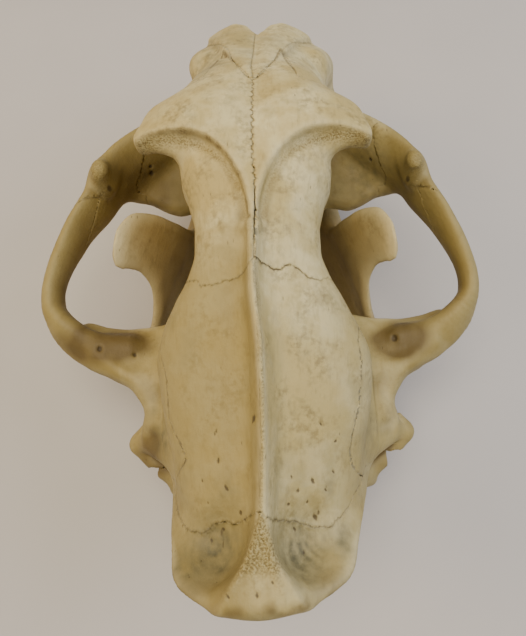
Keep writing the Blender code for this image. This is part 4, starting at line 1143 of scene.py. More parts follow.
# small open vessels, as (x, s), and larger holes, as (x, s, z)
SPECKS = [(-8.3, 30.1), (-13.7, 28.9), (-9.7, 26.9), (-17.2, 26.6), (-7.2, 23.5), (-15, 21.1), (-3.6, 20),
          (-20.6, 38.8), (-19.6, 31), (-12.2, 23.9), (-16.6, 43.1), (1.2, 44), (11.2, 35), (15.8, 30.6),
          (11.7, 42.2), (9, 28.3), (14.4, 24.9), (5.4, 22), (4, 20.6), (5.4, 101.5), (7.3, 5.3),
          (.5, 5.2), (-3, 7.6), (13.6, 16), (10.8, 17.8), (-8.8, 17.5), (-11, 12.5), (-14, 20)]
HOLES = [(44.6, 72.3, 60.7), (55.8, 74.2, 63.4), (-45.2, 74.3, 61), (43.4, 146.3, 65.6),
         (43.8, 145.3, 62.3), (55.3, 131.9, 72.4), (-43.2, 146.5, 65.5), (36.5, 160, 70)]
# the two hollows at the back: centre, radii and the middle of the swirl in it
POCKETS = [((12.5, 13, 83), (9, 8, 9), (12.8, 14.5)), ((-9.5, 13, 85), (8, 8.5, 9), (-16, 15))]
# stains, and painted shade on the snout and at the back: centre, radii and strength
STAIN_AND_SHADE_BLOTS = [((13.7, 14.3, 83), (1.5, 1.2, 3), 1.6), ((10.6, 16.4, 83), (.8, 1.4, 3), 1.5),
         ((-9.2, 15.5, 84), (1.8, 1.5, 3), 1.5), ((-10, 10, 86), (3, 1.8, 3), 1.2),
         ((19, 9, 84), (3, 4, 6), .8), ((-17, 7, 86), (4, 3, 6), .7), ((9, 27, 88), (4, 5, 5), .5),
         ((32.9, 45, 60.5), (6, 7, 8), .8), ((37, 54.5, 58.7), (5, 5, 8), .5),
         ((-29.8, 42, 74), (4, 4, 6), .5), ((-33, 39, 62), (5, 6, 8), .5),
         ((-4.5, 30, 92), (2, 8, 4), .5), ((-18, 28, 85), (2, 6, 5), .5), ((0, .8, 93), (5, 1.4, 4), .8),
         ((-9, 28, 90), (6, 9, 6), .4), ((-42, 142, 64), (10, 14, 12), .8),
         ((30, 172, 88), (12, 18, 14), .45), ((-33, 43, 66), (5, 9, 12), .6),
         ((8, 188, 92), (9, 14, 12), .3), ((24, 30, 80), (3, 10, 6), .35), ((15, 50, 100), (6, 9, 6), .5),
         ((20, 63, 98), (4, 6, 6), .5), ((8, 72, 104), (4, 6, 5), .4), ((22, 11, 83), (2.5, 5, 5), .9),
         ((-21, 13, 82), (3, 6, 5), .8), ((-17, 5, 88), (6, 2.5, 5), .8), ((16.5, 165, 97), (9, 9, 8), .8),
         ((20, 182, 86), (10, 16, 14), .5), ((-8, 184, 91), (8, 14, 10), .4),
         ((18, 6, 86), (6, 4, 6), .55), ((-48, 132, 62), (10, 12, 14), .5), ((-8, 62, 104), (5, 10, 6), .4),
         ((-13, 45, 100), (9, 7, 8), .3), ((12, 52, 102), (6, 8, 6), .3)]


def folded(q):
    """Points with the skull's right half laid over its left."""
    return np.stack([np.abs(q[:, 0]), q[:, 1], q[:, 2]], 1)


print(len(SPECKS), "specks,", len(HOLES), "vessel holes and", len(STAIN_AND_SHADE_BLOTS), "stains")

# %% Relief


def scars(q, n):
    """Where the muscles held on: how rough each point is, how far out it lies, and its fine lines, one of
    them a painted shadow beside the crest.
    """
    both = folded(q)
    top = along([(88, 0), (95, 1)], q[:, 2])
    high = along([(96, 0), (99, 1)], q[:, 2])
    edge = near_line(both, RIDGE, .9) * top
    band = near_line(both, BEHIND_RIDGE, 2.1) * top * along([(0, .25), (6, .45), (18, 1)], both[:, 0])
    crest = near_line(q, CREST_LINE, .8) * high
    flank = near_line(q, CREST_LINE, 3.4) * high * np.abs(n[:, 0])
    # a dark line painted as the crest's shadow on its left, over a slight groove
    shadow_beside_crest = near_line(q, CREST_SHADOW_LINE, .8) * high * along([(20, .4), (30, 1), (80, 1), (92, .5)], q[:, 1])
    sides = np.maximum(near_line(q, REAR_SIDES[0], 1.4), near_line(q, REAR_SIDES[1], 1.4)) * top
    triangle = np.clip(1.6 - np.abs(q[:, 0] + .5) / (.42 * np.clip(22 - q[:, 1], 0, 30) + .6), 0, 1)
    triangle *= along([(8, 0), (11, 1), (20, 1), (24, 0)], q[:, 1]) * top
    rim = near_line(both, [(19, 3.5), (22.5, 9), (24, 16)], 2.2) * top
    knob = blot(both, (56, 132, 84), (4, 5, 4))
    rough = np.clip(.95 * band + .85 * crest + .9 * triangle + .3 * sides + .5 * rim, 0, 1)
    out = .09 * rough * noise(q, 1.3, 1) + .14 * edge + .3 * sides + .3 * knob * noise(q, 2.2, 23)
    out += crest * (.25 + .15 * noise(q * [1, .6, 1], 1.3, 5)) - .16 * triangle - .1 * band
    out -= 1.1 * flank + .12 * shadow_beside_crest
    lines = np.maximum(edge * (.45 + .3 * np.sign(q[:, 0])), .7 * shadow_beside_crest)
    return np.clip(rough + .7 * knob, 0, 1), out, lines * np.clip(.7 + .6 * noise(q, 2, 14), 0, 1)


def stains(q):
    """How stained each point is, with painted shade on the snout and at the back, and how deep the two
    pockets with their swirls lie.
    """
    stain, deep = np.zeros(len(q)), np.zeros(len(q))
    for k, (centre, radii, middle_of_swirl) in enumerate(POCKETS):
        away = np.linalg.norm(q[:, :2] - middle_of_swirl, axis=1)
        swirl = .5 + .5 * np.sin(2 * np.pi * away / 2.1 + 5 * noise(q, 5.5, 11 + k))
        swirl *= np.clip(.5 + noise(q, 3, 16 + k), 0, 1)
        pocket = blot(q, centre, radii)
        stain = np.maximum(stain, pocket * (.8 + .5 * swirl))
        deep += pocket * (.8 + .16 * swirl)
    for centre, radii, strength in STAIN_AND_SHADE_BLOTS:
        stain = np.maximum(stain, strength * blot(q, centre, radii) * (.7 + .5 * noise(q, 1.8, 13)))
    return stain, deep


def specks_and_holes(q):
    """Ragged open vessels in the outer bone, and the round holes of larger ones."""
    specks, holes, ragged = np.zeros(len(q)), np.zeros(len(q)), noise(q, .7, 19)
    for k, (x, s) in enumerate(SPECKS):
        w = q[:, 1] - s
        u = q[:, 0] - x + .4 * math.sin(3.7 * k) * w
        size = .28 + .22 * (math.sin(5.3 * k) ** 2)
        flat = (u / size) ** 2 + (w / (size * (1.2 + math.cos(2.9 * k) ** 2))) ** 2
        specks = np.maximum(specks, np.exp(-flat + .7 * ragged) * (q[:, 2] > 72))
    for k, centre in enumerate(HOLES):
        size = .5 + .2 * (k % 3)
        holes = np.maximum(holes, blot(q, centre, (size, 1.2 * size, 1.5 * size)))
    return specks, holes


def relief(q, n):
    """Millimetres to move each point out along its normal n, and the marks that go with it."""
    both = folded(q)
    rough, out, dotted = scars(q, n)
    stain, deep = stains(q)
    specks, holes = specks_and_holes(q)
    cleft = near_line(both, CLEFT, .5) * along([(68, 0), (72, 1), (80, 1), (83, 0)], q[:, 2])
    out += .10 * noise(q, 7, 3) + .04 * noise(q, 2.6, 4)
    out -= deep + .35 * specks + 1.2 * holes + .12 * cleft
    behind_knob = blot(both, (53.8, 129.2, 77), (.9, 1.1, 2))
    dotted = np.maximum(dotted, .55 * cleft)
    for line in NASAL_GROOVES:
        dotted = np.maximum(dotted, near_line(q, line, .7) * (q[:, 2] > 84))
    pits = np.clip(np.maximum(specks, behind_knob) + 1.9 * holes, 0, 1)
    return out, {"rough": rough, "stain": stain, "pits": pits, "dotted": dotted}


TOP_OF_CREST = np.array([[0, 60, 109.0]])
print("the crest's top moves by", relief(TOP_OF_CREST, np.array([[0, 0, 1.0]]))[0].round(2), "mm")

# %% Where the bone is brown: ochre stain and painted shade


def ochre_parts(q):
    """1 on the arches, the eye sockets and low parts, and 0 on the skull's top: ochre stain, with painted
    shade on the low parts, arches and sockets. The left side of the braincase and the back are more
    golden than the right, the back partly as painted shade."""
    spread = along([(4, 9), (22, 1)], q[:, 1])
    golden = along([(-26, .5), (-14, .15), (-1, .15), (1, .9), (12, .8), (26, .85)], q[:, 0] / spread)
    golden = golden * along([(0, 1.2), (24, .9), (80, .9), (104, .15)], q[:, 1])
    golden += .25 * along([(-2, 1), (0, 0)], q[:, 0]) * along([(36, 1), (50, 0)], q[:, 1])
    low = along([(60, 1), (88, 0)], q[:, 2]) * along([(150, 1), (165, .35)], q[:, 1])
    arch = along([(34, 0), (48, 1), (150, 1), (165, .2)], q[:, 1])
    arch *= along([(44, 0), (50, 1)], np.abs(q[:, 0]))
    socket = along([(118, 0), (128, 1), (158, 1), (166, 0)], q[:, 1]) * along([(84, 1), (100, 0)], q[:, 2])
    socket *= along([(-2, .5), (2, 1)], q[:, 0])
    return np.clip(np.maximum(np.maximum(.75 * low, arch), np.maximum(socket, golden)), 0, 1)


def dark_parts(q, n):
    """1 where the bone is painted dark brown: the left eye socket, the plates by the ears, the roots and
    inner faces of the arches, and patches low down. Most of it is painted shade in recesses, under the
    arches and on faces turned away from the light, and some is grease stain. n are the normals."""
    arch = along([(46, 0), (52, 1)], np.abs(q[:, 0])) * np.clip(-n[:, 0] * np.sign(q[:, 0]), 0, 1)
    socket = blot(q, (44, 141, 62), (14, 15, 16)) + .5 * blot(q, (-44, 132, 58), (12, 10, 12))
    ears = blot(q, (38, 38, 40), (12, 8, 10)) + 1.3 * blot(q, (38, 43, 54), (6, 7, 10))
    ears += .6 * blot(q, (-38, 38, 40), (12, 8, 10))
    both = folded(q)
    inner = 2.6 * (blot(q, (54, 77, 61), (12, 6, 6)) + blot(q, (-47, 74, 61), (8, 6, 6)))
    inner += .35 * blot(both, (68, 92, 62), (6, 10, 8)) + .5 * blot(both, (18, 5, 88), (9, 6, 8))
    inner += blot(q, (-1, 1.6, 95), (13, 2, 4)) * np.clip(.6 + .8 * noise(q, 2.5, 31), 0, 1)
    patch = .22 * np.clip(noise(q, 9, 22) + .6 * noise(q, 3.5, 25), 0, 1)
    patch *= along([(66, 1), (80, .3)], q[:, 2])
    dark = np.clip(.75 * socket + .7 * ears + inner + .3 * arch + patch, 0, .9)
    return dark * (.84 + .16 * noise(q, 4, 21))


def marks_for(q, n, distance, seams):
    """Numbers from 0 to 1 for each point, named as the finish reads them."""
    far = distance(q, n, 6.0)
    near = distance(q, n, 2.0)
    # hollow is painted shade: the less open room along the normal, the browner the bone, as where less light
    # reaches a recess
    hollow = np.clip(1 - (far + near * 1.5) / 9.0, 0, 1)
    thin = np.clip(1 + distance(q, n, -2.2) / 2.2, 0, 1)
    return {"hollow": hollow, "thin": thin, "seam": seams, "ochre": ochre_parts(q)}


print("ochre on the cheek arch:", ochre_parts(np.array([[74, 96, 60.0]])).round(2))

# %% How dark each suture is
# a suture's darkness is one number, or knots along an axis: 0 for x, 1 for s
STRENGTHS = [(coronal, 0, [(-20, .2), (-15, .75), (-2, .85), (1, .45), (20, .4)]),
             (lambdoid, 0, [(-23, .1), (-18, .5), (-3, .55), (-1, 0), (5, 0), (8, .5), (17, .4), (20, 0)]),
             (squamous, 1, [(29, 0), (33, .4)]), (middle, 0, .6), (nasal_side, 0, .4), (brow, 0, .25),
             (cheek_front, 0, .22), (cheek_rear, 0, .2)]


def steps_to(cut, q):
    """Distance in mm from points to the place where a cut function is zero."""
    a, g = slope_at(lambda p: cut(*p.T), q)
    return np.abs(a) / np.sqrt((g * g).sum(1) + 1e-6)


def seam_of(q, cut, width=0.4):
    """On a bone's suture its strength, falling to 0 at width from it."""
    near = np.clip(1 - steps_to(cut, q) / width, 0, 1)
    rows = np.nonzero(near > 0)[0]
    strength = np.zeros(len(q))
    for other, axis, knots in STRENGTHS:
        here = steps_to(other, q[rows]) < .45
        dark = along(knots, q[rows, axis]) if isinstance(knots, list) else knots
        strength[rows] = np.maximum(strength[rows], here * dark)
    return near * strength, near


print(len(STRENGTHS), "sutures have a darkness")

# %% Make the cranium's bones


def skin_from(q, n, reach):
    """The distance grid, read at reach mm along the normals n of points that have their lean."""
    return skin(leaned(q + n * reach, 1))


pieces = {}
triangle_total = 0
for name, (cut, low, high, node) in BONES.items():
    points, faces = bone(cut, low, high)
    n = point_normals(points, faces)
    q = leaned(points, -1)
    seams, at_cut = seam_of(q, cut)
    marks = marks_for(q, n, skin_from, seams)
    out, more = relief(q, n)
    marks.update(more)
    # painted shade, with some grease stain, is added to the hollows' painted shade, and no pale edge is
    # painted there
    dark = dark_parts(q, n)
    marks["hollow"], marks["thin"] = np.maximum(marks["hollow"], dark), marks["thin"] * (1 - dark)
    on_skin = np.clip(1 - np.abs(skin(points)) / .3, 0, 1)
    proud = CHEEK_PROUD * name.startswith("zygomatic")
    points = points + n * (on_skin * (out * (1 - at_cut) + proud))[:, None]
    pieces[name] = write_piece(name, to_frame(points), faces.tolist(), marks)
    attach(pieces[name], "root")
    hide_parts(node)
    triangle_total += 2 * len(faces)
    print(f"{name:16s} {2 * len(faces):7d} triangles")
print("cranium", triangle_total, "triangles")

# %% [markdown]
# ## The lower jaw
# The jaw is two halves that meet at the chin. Its tall coronoid process stands up through the cheek
# arch, where the photograph shows it. The left half stands a degree further out, as the photograph
# shows too. The same grid and net make it, and no suture crosses it.

# %% Make the halves of the jaw
jaw = jaw_form(STEP)


def splayed(place, side):
    """Turn the left half, in metres, about the chin."""
    if side < 0:
        return place
    angle = -math.radians(JAW_SPLAY)
    c, w = math.cos(angle), math.sin(angle)
    y = place[:, 1] - (CENTRE_S - JAW_PIVOT_S) * MM
    return np.stack([c * place[:, 0] - w * y, w * place[:, 0] + c * y + (CENTRE_S - JAW_PIVOT_S) * MM,
                     place[:, 2]], 1)


def jaw_skin(q, n, reach):
    return read_grid(jaw.distance, jaw.axes, q + n * reach)


def make_jaw(name, side):
    points, faces = largest(*surface(jaw))
    n = point_normals(points, faces)
    marks = marks_for(points, n, jaw_skin, np.zeros(len(points)))
    scar = blot(points, (46, 92, 40), (8, 16, 16)) + blot(points, (44, 76, 12), (6, 8, 6))
    grain = noise(points, 1.3, 6)
    out = .10 * noise(points, 8, 8) + .04 * noise(points, 2.6, 9) + .12 * scar * grain
    chin_holes = np.maximum(blot(points, (17.5, 200, 18), (5, 1.6, 1.4)),
                            blot(points, (21, 191, 16), (5, 1.1, 1)))
    out -= 1.5 * chin_holes
    points = points + n * (out * along([(.5, 0), (1.5, 1)], points[:, 2])
                           * along([(GAP / 2 + .05, 0), (GAP / 2 + .8, 1)], points[:, 0]))[:, None]
    none = np.zeros(len(points))
    marks.update(rough=.6 * np.clip(scar, 0, 1), pits=np.clip(chin_holes, 0, 1), stain=none, dotted=none)
    # the jaw is painted more ochre low down: stain, with painted shade
    marks["ochre"] = .3 + .5 * along([(50, 1), (80, .2)], points[:, 2])
    # the jaw's inner faces high up get painted shade, and random brown patches are added
    inner = np.clip(-n[:, 0], 0, 1) * along([(40, 0), (56, 1)], points[:, 2])
    marks["hollow"] = np.maximum(marks["hollow"], .3 * inner + .3 * np.clip(noise(points, 6, 26), 0, 1))
    points[:, 2] = np.maximum(points[:, 2], 0)
    if side < 0:
        points, faces = points * [-1, 1, 1], faces[:, ::-1]
    obj = write_piece(name, splayed(to_frame(points), side), faces.tolist(), marks)
    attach(obj, "root")
    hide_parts(name)
    print(f"{name:16s} {2 * len(faces):7d} triangles")
    return obj


for name, side in (("mandible_left", 1), ("mandible_right", -1)):
    pieces[name] = make_jaw(name, side)

# %% [markdown]
# ## Teeth
# A canine is a curved cone: oval rings are carried along a smooth path that starts deep in the bone.
# A cheek tooth is a blade: its section stands on the root, is widest at the gum and narrows to an
# edge, and its height follows two or three cusps. Both are surfaces of two parameters, one along
# the tooth and one round it, so each is a grid of points that closes on itself.

# %% Tooth shapes
ROUND = 28                  # points round a tooth


def closed_rings(rings):
    """Points and faces of rings, each end drawn together to a point."""
    m, n = rings.shape[:2]
    i, j = np.meshgrid(np.arange(m - 1), np.arange(n), indexing="ij")
    a, b = i * n + j, i * n + (j + 1) % n
    quads = np.stack([a, b, b + n, a + n], -1).reshape(-1, 4).tolist()
    points = np.concatenate([rings.reshape(-1, 3), rings[:1].mean(1), rings[-1:].mean(1)])
    first, last = m * n, m * n + 1
    for k in range(n):
        quads.append([(k + 1) % n, k, first])
        quads.append([(m - 1) * n + k, (m - 1) * n + (k + 1) % n, last])
    return points, quads


def fine_fang(path, groove=0.0):
    """Tooth on a path of (x, s, z, half width, half length), with two faint grooves down its side."""
    p = curve_through(path, 10)
    a = np.arange(ROUND) / ROUND * 2 * np.pi
    dip = 1 - groove * (np.exp(-((np.abs(np.sin(a)) - .25) / .12) ** 2))
    ring = np.stack([np.cos(a) * dip, np.sin(a), 0 * a], 1)
    scale = np.stack([p[:, 3], p[:, 4], 0 * p[:, 3]], 1)
    points, faces = closed_rings(p[:, None, :3] + ring[None] * scale[:, None])
    place = np.repeat(np.linspace(0, 1, len(p)), ROUND)
    return points, faces, np.concatenate([place, [0, 1]])


def fine_cheek_tooth(x, s, z, yaw, length, width, cusps, up, root=8.0, stations=60):
    """Blade tooth: cusps are (place from -1 to 1, height, half breadth)."""
    t = -np.cos(np.linspace(0.02, np.pi - 0.02, stations))
    rise = np.full_like(t, 1.6)
    for place, height, breadth in cusps:
        peak = height * np.maximum(1 - (np.sqrt(((t - place) / breadth) ** 2 + .006) - .077), 0) ** .85
        rise = np.maximum(rise, peak) + .6 * np.exp(-((rise - peak) / .8) ** 2)
    a = np.arange(ROUND) / ROUND * 2 * np.pi - np.pi / 2
    level = np.where(np.sin(a) > 0, np.abs(np.sin(a)) ** .85, 0)
    across = np.where(np.sin(a) > 0, np.sign(np.cos(a)) * np.abs(np.cos(a)) ** 1.25,
                      np.sign(np.cos(a)) * np.abs(np.cos(a)) ** .35 * .82)
    half = width / 2 * (1 - np.abs(t) ** 3.2) ** 0.55
    side = across[None] * half[:, None] * (1 - .18 * np.exp(-((level[None] - .35) / .12) ** 2))
    height = np.where(np.sin(a)[None] > 0, level[None] * rise[:, None], root * np.sin(a)[None])
    fore = (t * length / 2)[:, None] + 0 * side
    c, w = np.cos(np.radians(yaw)), np.sin(np.radians(yaw))
    rings = np.stack([x + c * side + w * fore, s - w * side + c * fore, z + up * height], -1)
    points, faces = closed_rings(rings)
    crown = np.clip(height / 8, -1, 1) * .5 + .5
    return points, faces, np.concatenate([crown.ravel(), [.5, .5]])


print("a fang has", 10 * 6 + 1, "rings of", ROUND, "points")

# %% Where the teeth stand


def upper_teeth():
    gum = [palate(s) for s in (211, 197, 184, 162.5, 147.5)]
    tip = gum[0] - UPPER_CANINE
    teeth = {"canine": fine_fang([(23, 199, gum[0] + 22, 3.5, 4.5), (24.2, 206, gum[0] + 10, 5.2, 6.8),
                                  (25, 210.5, gum[0], 5.6, 7.4), (25.6, 212.6, gum[0] - 11, 4.8, 6),
                                  (26, 211.6, tip + 14, 3.6, 4.3), (26.2, 209, tip + 6, 2.2, 2.6),
                                  (26.2, 207.2, tip + 1.2, .9, 1.1), (26.2, 206.8, tip, .35, .45)], .10)}
    cheek = (("premolar_2", 25.3, 197.5, gum[1], -14, 5, 4, [(0, 4, 1.2)]),
             ("premolar_3", 29.2, 184, gum[2] - .5, -14, 17.5, 8.4,
              [(-.1, 11, .62), (.68, 4.5, .5), (-.72, 5.5, .5)]),
             ("carnassial", 35, 162.5, gum[3] - .5, -14, 26, 8.6,
              [(.02, 14, .5), (-.62, 10, .62), (.66, 7, .45)]),
             ("carnassial_inner_cusp", 30, 171.5, gum[3] - .3, 60, 9, 6, [(0, 4.5, 1.1)]),
             ("molar", 31.5, 147.5, gum[4] + .5, 70, 9, 4.5, [(0, 3.4, 1.3)]))
    for name, *rest in cheek:
        teeth[name] = fine_cheek_tooth(*rest, -1)
    row = ((2.4, 232.6, 1.7, 7), (6.9, 232.2, 2.1, 7.6), (11.8, 230, 2.9, 10.5))
    for k, (x, s, half, crown) in enumerate(row):
        z = palate(s) + 2
        teeth[f"incisor_{k + 1}"] = fine_fang([(x, s - 3, z + 7, half, 2), (x, s - .6, z, half, 2.6),
                                               (x, s, z - crown * .6, half * .85, 2),
                                               (x, s - .3, z - crown * .92, half * .62, 1.1),
                                               (x, s - .4, z - crown, half * .3, .5)])
    return teeth


def lower_teeth():
    gum = JAW_DEPTH
    tip = gum + LOWER_CANINE
    teeth = {"canine": fine_fang([(10.5, 207, gum - 20, 3.5, 4.5), (12.8, 213.5, gum - 9, 4.6, 6),
                                  (14.6, 218.4, gum, 4.8, 6.2), (16.5, 221.8, gum + 10, 3.9, 4.8),
                                  (17.8, 222.9, tip - 11, 2.9, 3.5), (18.6, 222.4, tip - 5, 1.9, 2.2),
                                  (18.95, 221.6, tip - 1.1, .8, 1), (19, 221.4, tip, .3, .4)], .08)}
    row = (("premolar_3", 192.5, 12.5, 6.6, [(0, 7.5, .7), (-.75, 3.5, .5)]),
           ("premolar_4", 177, 18, 8, [(.05, 11, .55), (-.62, 6, .5), (.72, 4.5, .5)]),
           ("carnassial", 157.5, 20, 8.6, [(.45, 11, .6), (-.45, 12, .6)]))
    for name, s, length, width, cusps in row:
        x = float(jaw_middle(s, gum)) - .4
        teeth[name] = fine_cheek_tooth(x, s, gum - 1, -18, length, width, cusps, 1)
    row = ((2.2, 226.4, 1.4, 5), (5.3, 226.2, 1.6, 5.6), (8.9, 225.2, 2.0, 6.6))
    for k, (x, s, half, crown) in enumerate(row):
        teeth[f"incisor_{k + 1}"] = fine_fang([(x * .9, s - 4, gum - 8, half, 1.8),
                                               (x, s - .6, gum - 1, half, 2.2),
                                               (x, s, gum + crown * .6, half * .85, 1.6),
                                               (x, s - .15, gum + crown * .92, half * .6, 1),
                                               (x, s - .2, gum + crown, half * .3, .4)])
    return teeth


print(len(upper_teeth()), "upper and", len(lower_teeth()), "lower teeth on each side")

# %% Make the teeth


def make_tooth(name, shape, side, lower, node):
    points, faces, crown = shape
    place = to_frame(points * [side, 1, 1])
    if lower:
        place = splayed(place, side)
    obj = write_piece(name, place, faces, {"crown": crown})
    bm = bmesh.new()
    bm.from_mesh(obj.data)
    bmesh.ops.recalc_face_normals(bm, faces=bm.faces)
    bm.to_mesh(obj.data)
    bm.free()
    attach(obj, "root")
    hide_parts(node)
    return obj


teeth = []
for side, word in ((1, "left"), (-1, "right")):
    for kind, shape in upper_teeth().items():
        teeth.append(make_tooth(f"upper_{kind}_{word}", shape, side, False, "muzzle"))
    for kind, shape in lower_teeth().items():
        teeth.append(make_tooth(f"lower_{kind}_{word}", shape, side, True, "mandible_" + word))
print(len(teeth), "teeth")

# %% [markdown]
# ## Old bone
# Cleaned bone is a matt, slightly waxy mineral. Years of handling and dust leave it cream on the
# swells and speckled where small vessels opened; ochre brown stain and painted shade lie in the
# hollows, on the arches and low down.
# The colour follows noises of real sizes, from blotches as wide as a thumb to grain of half a
# millimetre, and then the numbers that each point carries.

# %% Helpers for nodes


def linear(hex_colour):
    """sRGB hex to the linear colour that shaders read."""
    srgb = [int(hex_colour[i:i + 2], 16) / 255 for i in (1, 3, 5)]
    return [c / 12.92 if c <= .04045 else ((c + .055) / 1.055) ** 2.4 for c in srgb] + [1]


def add(tree, kind, inputs=None, **settings):
    """Add one node with its settings, and fill its inputs with values or with other nodes' outputs."""
    node = tree.nodes.new("ShaderNode" + kind)
    for key, value in settings.items():
        setattr(node, key, value)
    for key, value in (inputs or {}).items():
        socket = node.inputs[key]
        if isinstance(value, bpy.types.NodeSocket):
            tree.links.new(value, socket)
        else:
            socket.default_value = value
    return node


def blank(name):
    material = bpy.data.materials.new(name)
    material.use_nodes = True
    material.node_tree.nodes.clear()
    return material, material.node_tree


CREAM = "#DACC9A"
print("cream in linear light:", [round(v, 3) for v in linear(CREAM)[:3]])

# %% Signals and layers of the bone's colour
PER_METRE = 1000.0          # a noise of d millimetres has scale 1000 / d
VESSEL_SPACING = 1.9        # mm between small open vessels
# each noise's size in mm and its detail; fibre and the vessels are stretched along the skull
NOISES = {"blotch": (22, 4), "veil": (11, 5), "mottle": (9, 3), "cluster": (7, 3), "cloudlet": (6, 5),
          "broken": (2.4, 3), "fleck": (1.8, 5), "fibre": (1.3, 4), "grain": (.9, 5), "granule": (.55, 3)}
MARKS = ("ochre", "hollow", "thin", "rough", "stain", "dotted", "pits", "seam")
# a layer is a hue and its signals: each is mapped from two values to two others, and they are multiplied
LAYERS = (
    # thumb-wide blotches of cream and tan, then freckles and fine streaks along the skull
    ("cream", ("blotch", .40, .58, 0, 1)),
    ("tan", ("cloudlet", .46, .68, 0, .7)),
    ("stain", ("veil", .54, .68, 0, .22)),
    ("brown", ("fibre", .52, .70, 0, .2)),
    ("brown", ("mottle", .47, .62, 0, 1), ("fleck", .44, .62, 0, .42)),
    # ochre stain with painted shade on the arches, sockets and low parts, brown painted shade in the
    # hollows, and edges rubbed pale by hands
    ("ochre", ("ochre_and_shade", .1, .95, 0, .85)),
    ("brown", ("hollow", .15, .75, 0, .88)),
    ("pale", ("thin", .15, .85, 0, .5)),
    # granular muscle scars: brown between pale grains
    ("ochre", ("rough", 0, 1, 0, .6)),
    ("pale", ("rough", 0, 1, 0, 1), ("granule", .52, .62, 0, .22)),
    ("brown", ("rough", 0, 1, 0, 1), ("granule", .50, .40, 0, .65)),
    # greyish green stain in the pockets, painted shade on the snout and the back, small open vessels,
    # fine lines with the crest's painted shadow, holes and sutures
    ("stain", ("stain", 0, 2, 0, 2), ("broken", .3, .6, .55, .95)),
    ("speck", ("vessel", .12, .05, 0, 1), ("cluster", .52, .60, 0, .55)),
    ("brown", ("dotted", .1, .7, 0, .75), ("granule", .36, .56, .25, 1)),
    ("speck", ("pits", .30, .70, 0, .85)),
    ("speck", ("seam", 0, 1, 0, 1), ("seam", 0, 1, 0, 1), ("broken", .36, .52, .5, 1.6)))
# the fine bumps are a sum of such products
BUMPS = ([("grain", 0, 1, 0, .5)], [("fibre", 0, 1, 0, .6)],
         [("vessel", .12, .05, 0, -1.2), ("cluster", .52, .60, 0, .55)],
         [("rough", 0, 1, 0, 1), ("granule", .35, .65, 0, .8)])
print(len(LAYERS), "layers over tan, from", len(NOISES), "noises and", len(MARKS), "marks")

# %% Bone finish


def bone_finish(name, **hues):
    """Matt bone. The hues are hex, and each is laid where noises and the points' marks say."""
    material, tree = blank(name)
    place = add(tree, "TexCoord").outputs["Object"]
    stretched = add(tree, "Mapping", {"Vector": place, "Scale": (1.0, 0.22, 1.0)}).outputs[0]
    vessel = add(tree, "TexVoronoi", {"Vector": stretched, "Scale": PER_METRE / VESSEL_SPACING})
    signals = {"vessel": vessel.outputs["Distance"]}
    for label, (size_mm, detail) in NOISES.items():
        signals[label] = add(tree, "TexNoise", {"Vector": stretched if label == "fibre" else place,
                                                "Scale": PER_METRE / size_mm, "Detail": detail,
                                                "Roughness": .58}).outputs["Fac"]
    for label in MARKS:
        signals[label] = add(tree, "Attribute", attribute_name=label).outputs["Fac"]

    def product(rows):
        total = 1.0
        for label, low, high, to_low, to_high in rows:
            part = add(tree, "MapRange", {"Value": signals[label], "From Min": low, "From Max": high,
                                          "To Min": to_low, "To Max": to_high}).outputs["Result"]
            total = add(tree, "Math", {0: total, 1: part}, operation="MULTIPLY").outputs[0]
        return total

    def sum_of(products):
        total = 0.0
        for rows in products:
            total = add(tree, "Math", {0: total, 1: product(rows)}, operation="ADD").outputs[0]
        return total

    # the ochre mark is ochre stain with painted shade, broken up a little by the blotches
    signals["ochre_and_shade"] = sum_of(([("ochre", 0, 1, 0, 1)], [("blotch", .3, .7, -.15, .15)]))
    colour = linear(hues["tan"])
    for hue, *rows in LAYERS:
        colour = add(tree, "Mix", {0: product(rows), 6: colour, 7: linear(hues[hue])},
                     data_type="RGBA").outputs[2]
    bump = add(tree, "Bump", {"Height": sum_of(BUMPS), "Strength": .6, "Distance": .0004})
    shader = add(tree, "BsdfPrincipled", {"Base Color": colour, "Normal": bump.outputs[0], "IOR": 1.5,
                                          "Roughness": product([("cloudlet", .3, .7, .62, .50)]),
                                          "Specular IOR Level": .35})
    add(tree, "OutputMaterial", {"Surface": shader.outputs[0]})
    return material


cranium_bone = bone_finish("aged_cranium_bone", cream=CREAM, tan="#BDAA70", ochre="#928048",
                           brown="#604E2A", pale="#E4D7AA", speck="#4C3F29", stain="#625D43")
jaw_bone = bone_finish("aged_jaw_bone", cream="#CDBB88", tan="#BCA670", ochre="#9E8750",
                       brown="#735D32", pale="#E0D1A2", speck="#4C3F29", stain="#7C7754")
for name, obj in pieces.items():
    obj.data.materials.append(jaw_bone if name.startswith("mandible") else cranium_bone)
print("bone finish has", len(cranium_bone.node_tree.nodes), "nodes")

# %% [markdown]
# ## Tooth enamel
# Enamel is a smooth, hard glaze over yellower dentine: glossier than bone, ivory at the gum and
# paler towards the tip, with fine cracks down its length in an old dry tooth.

# %% Enamel finish


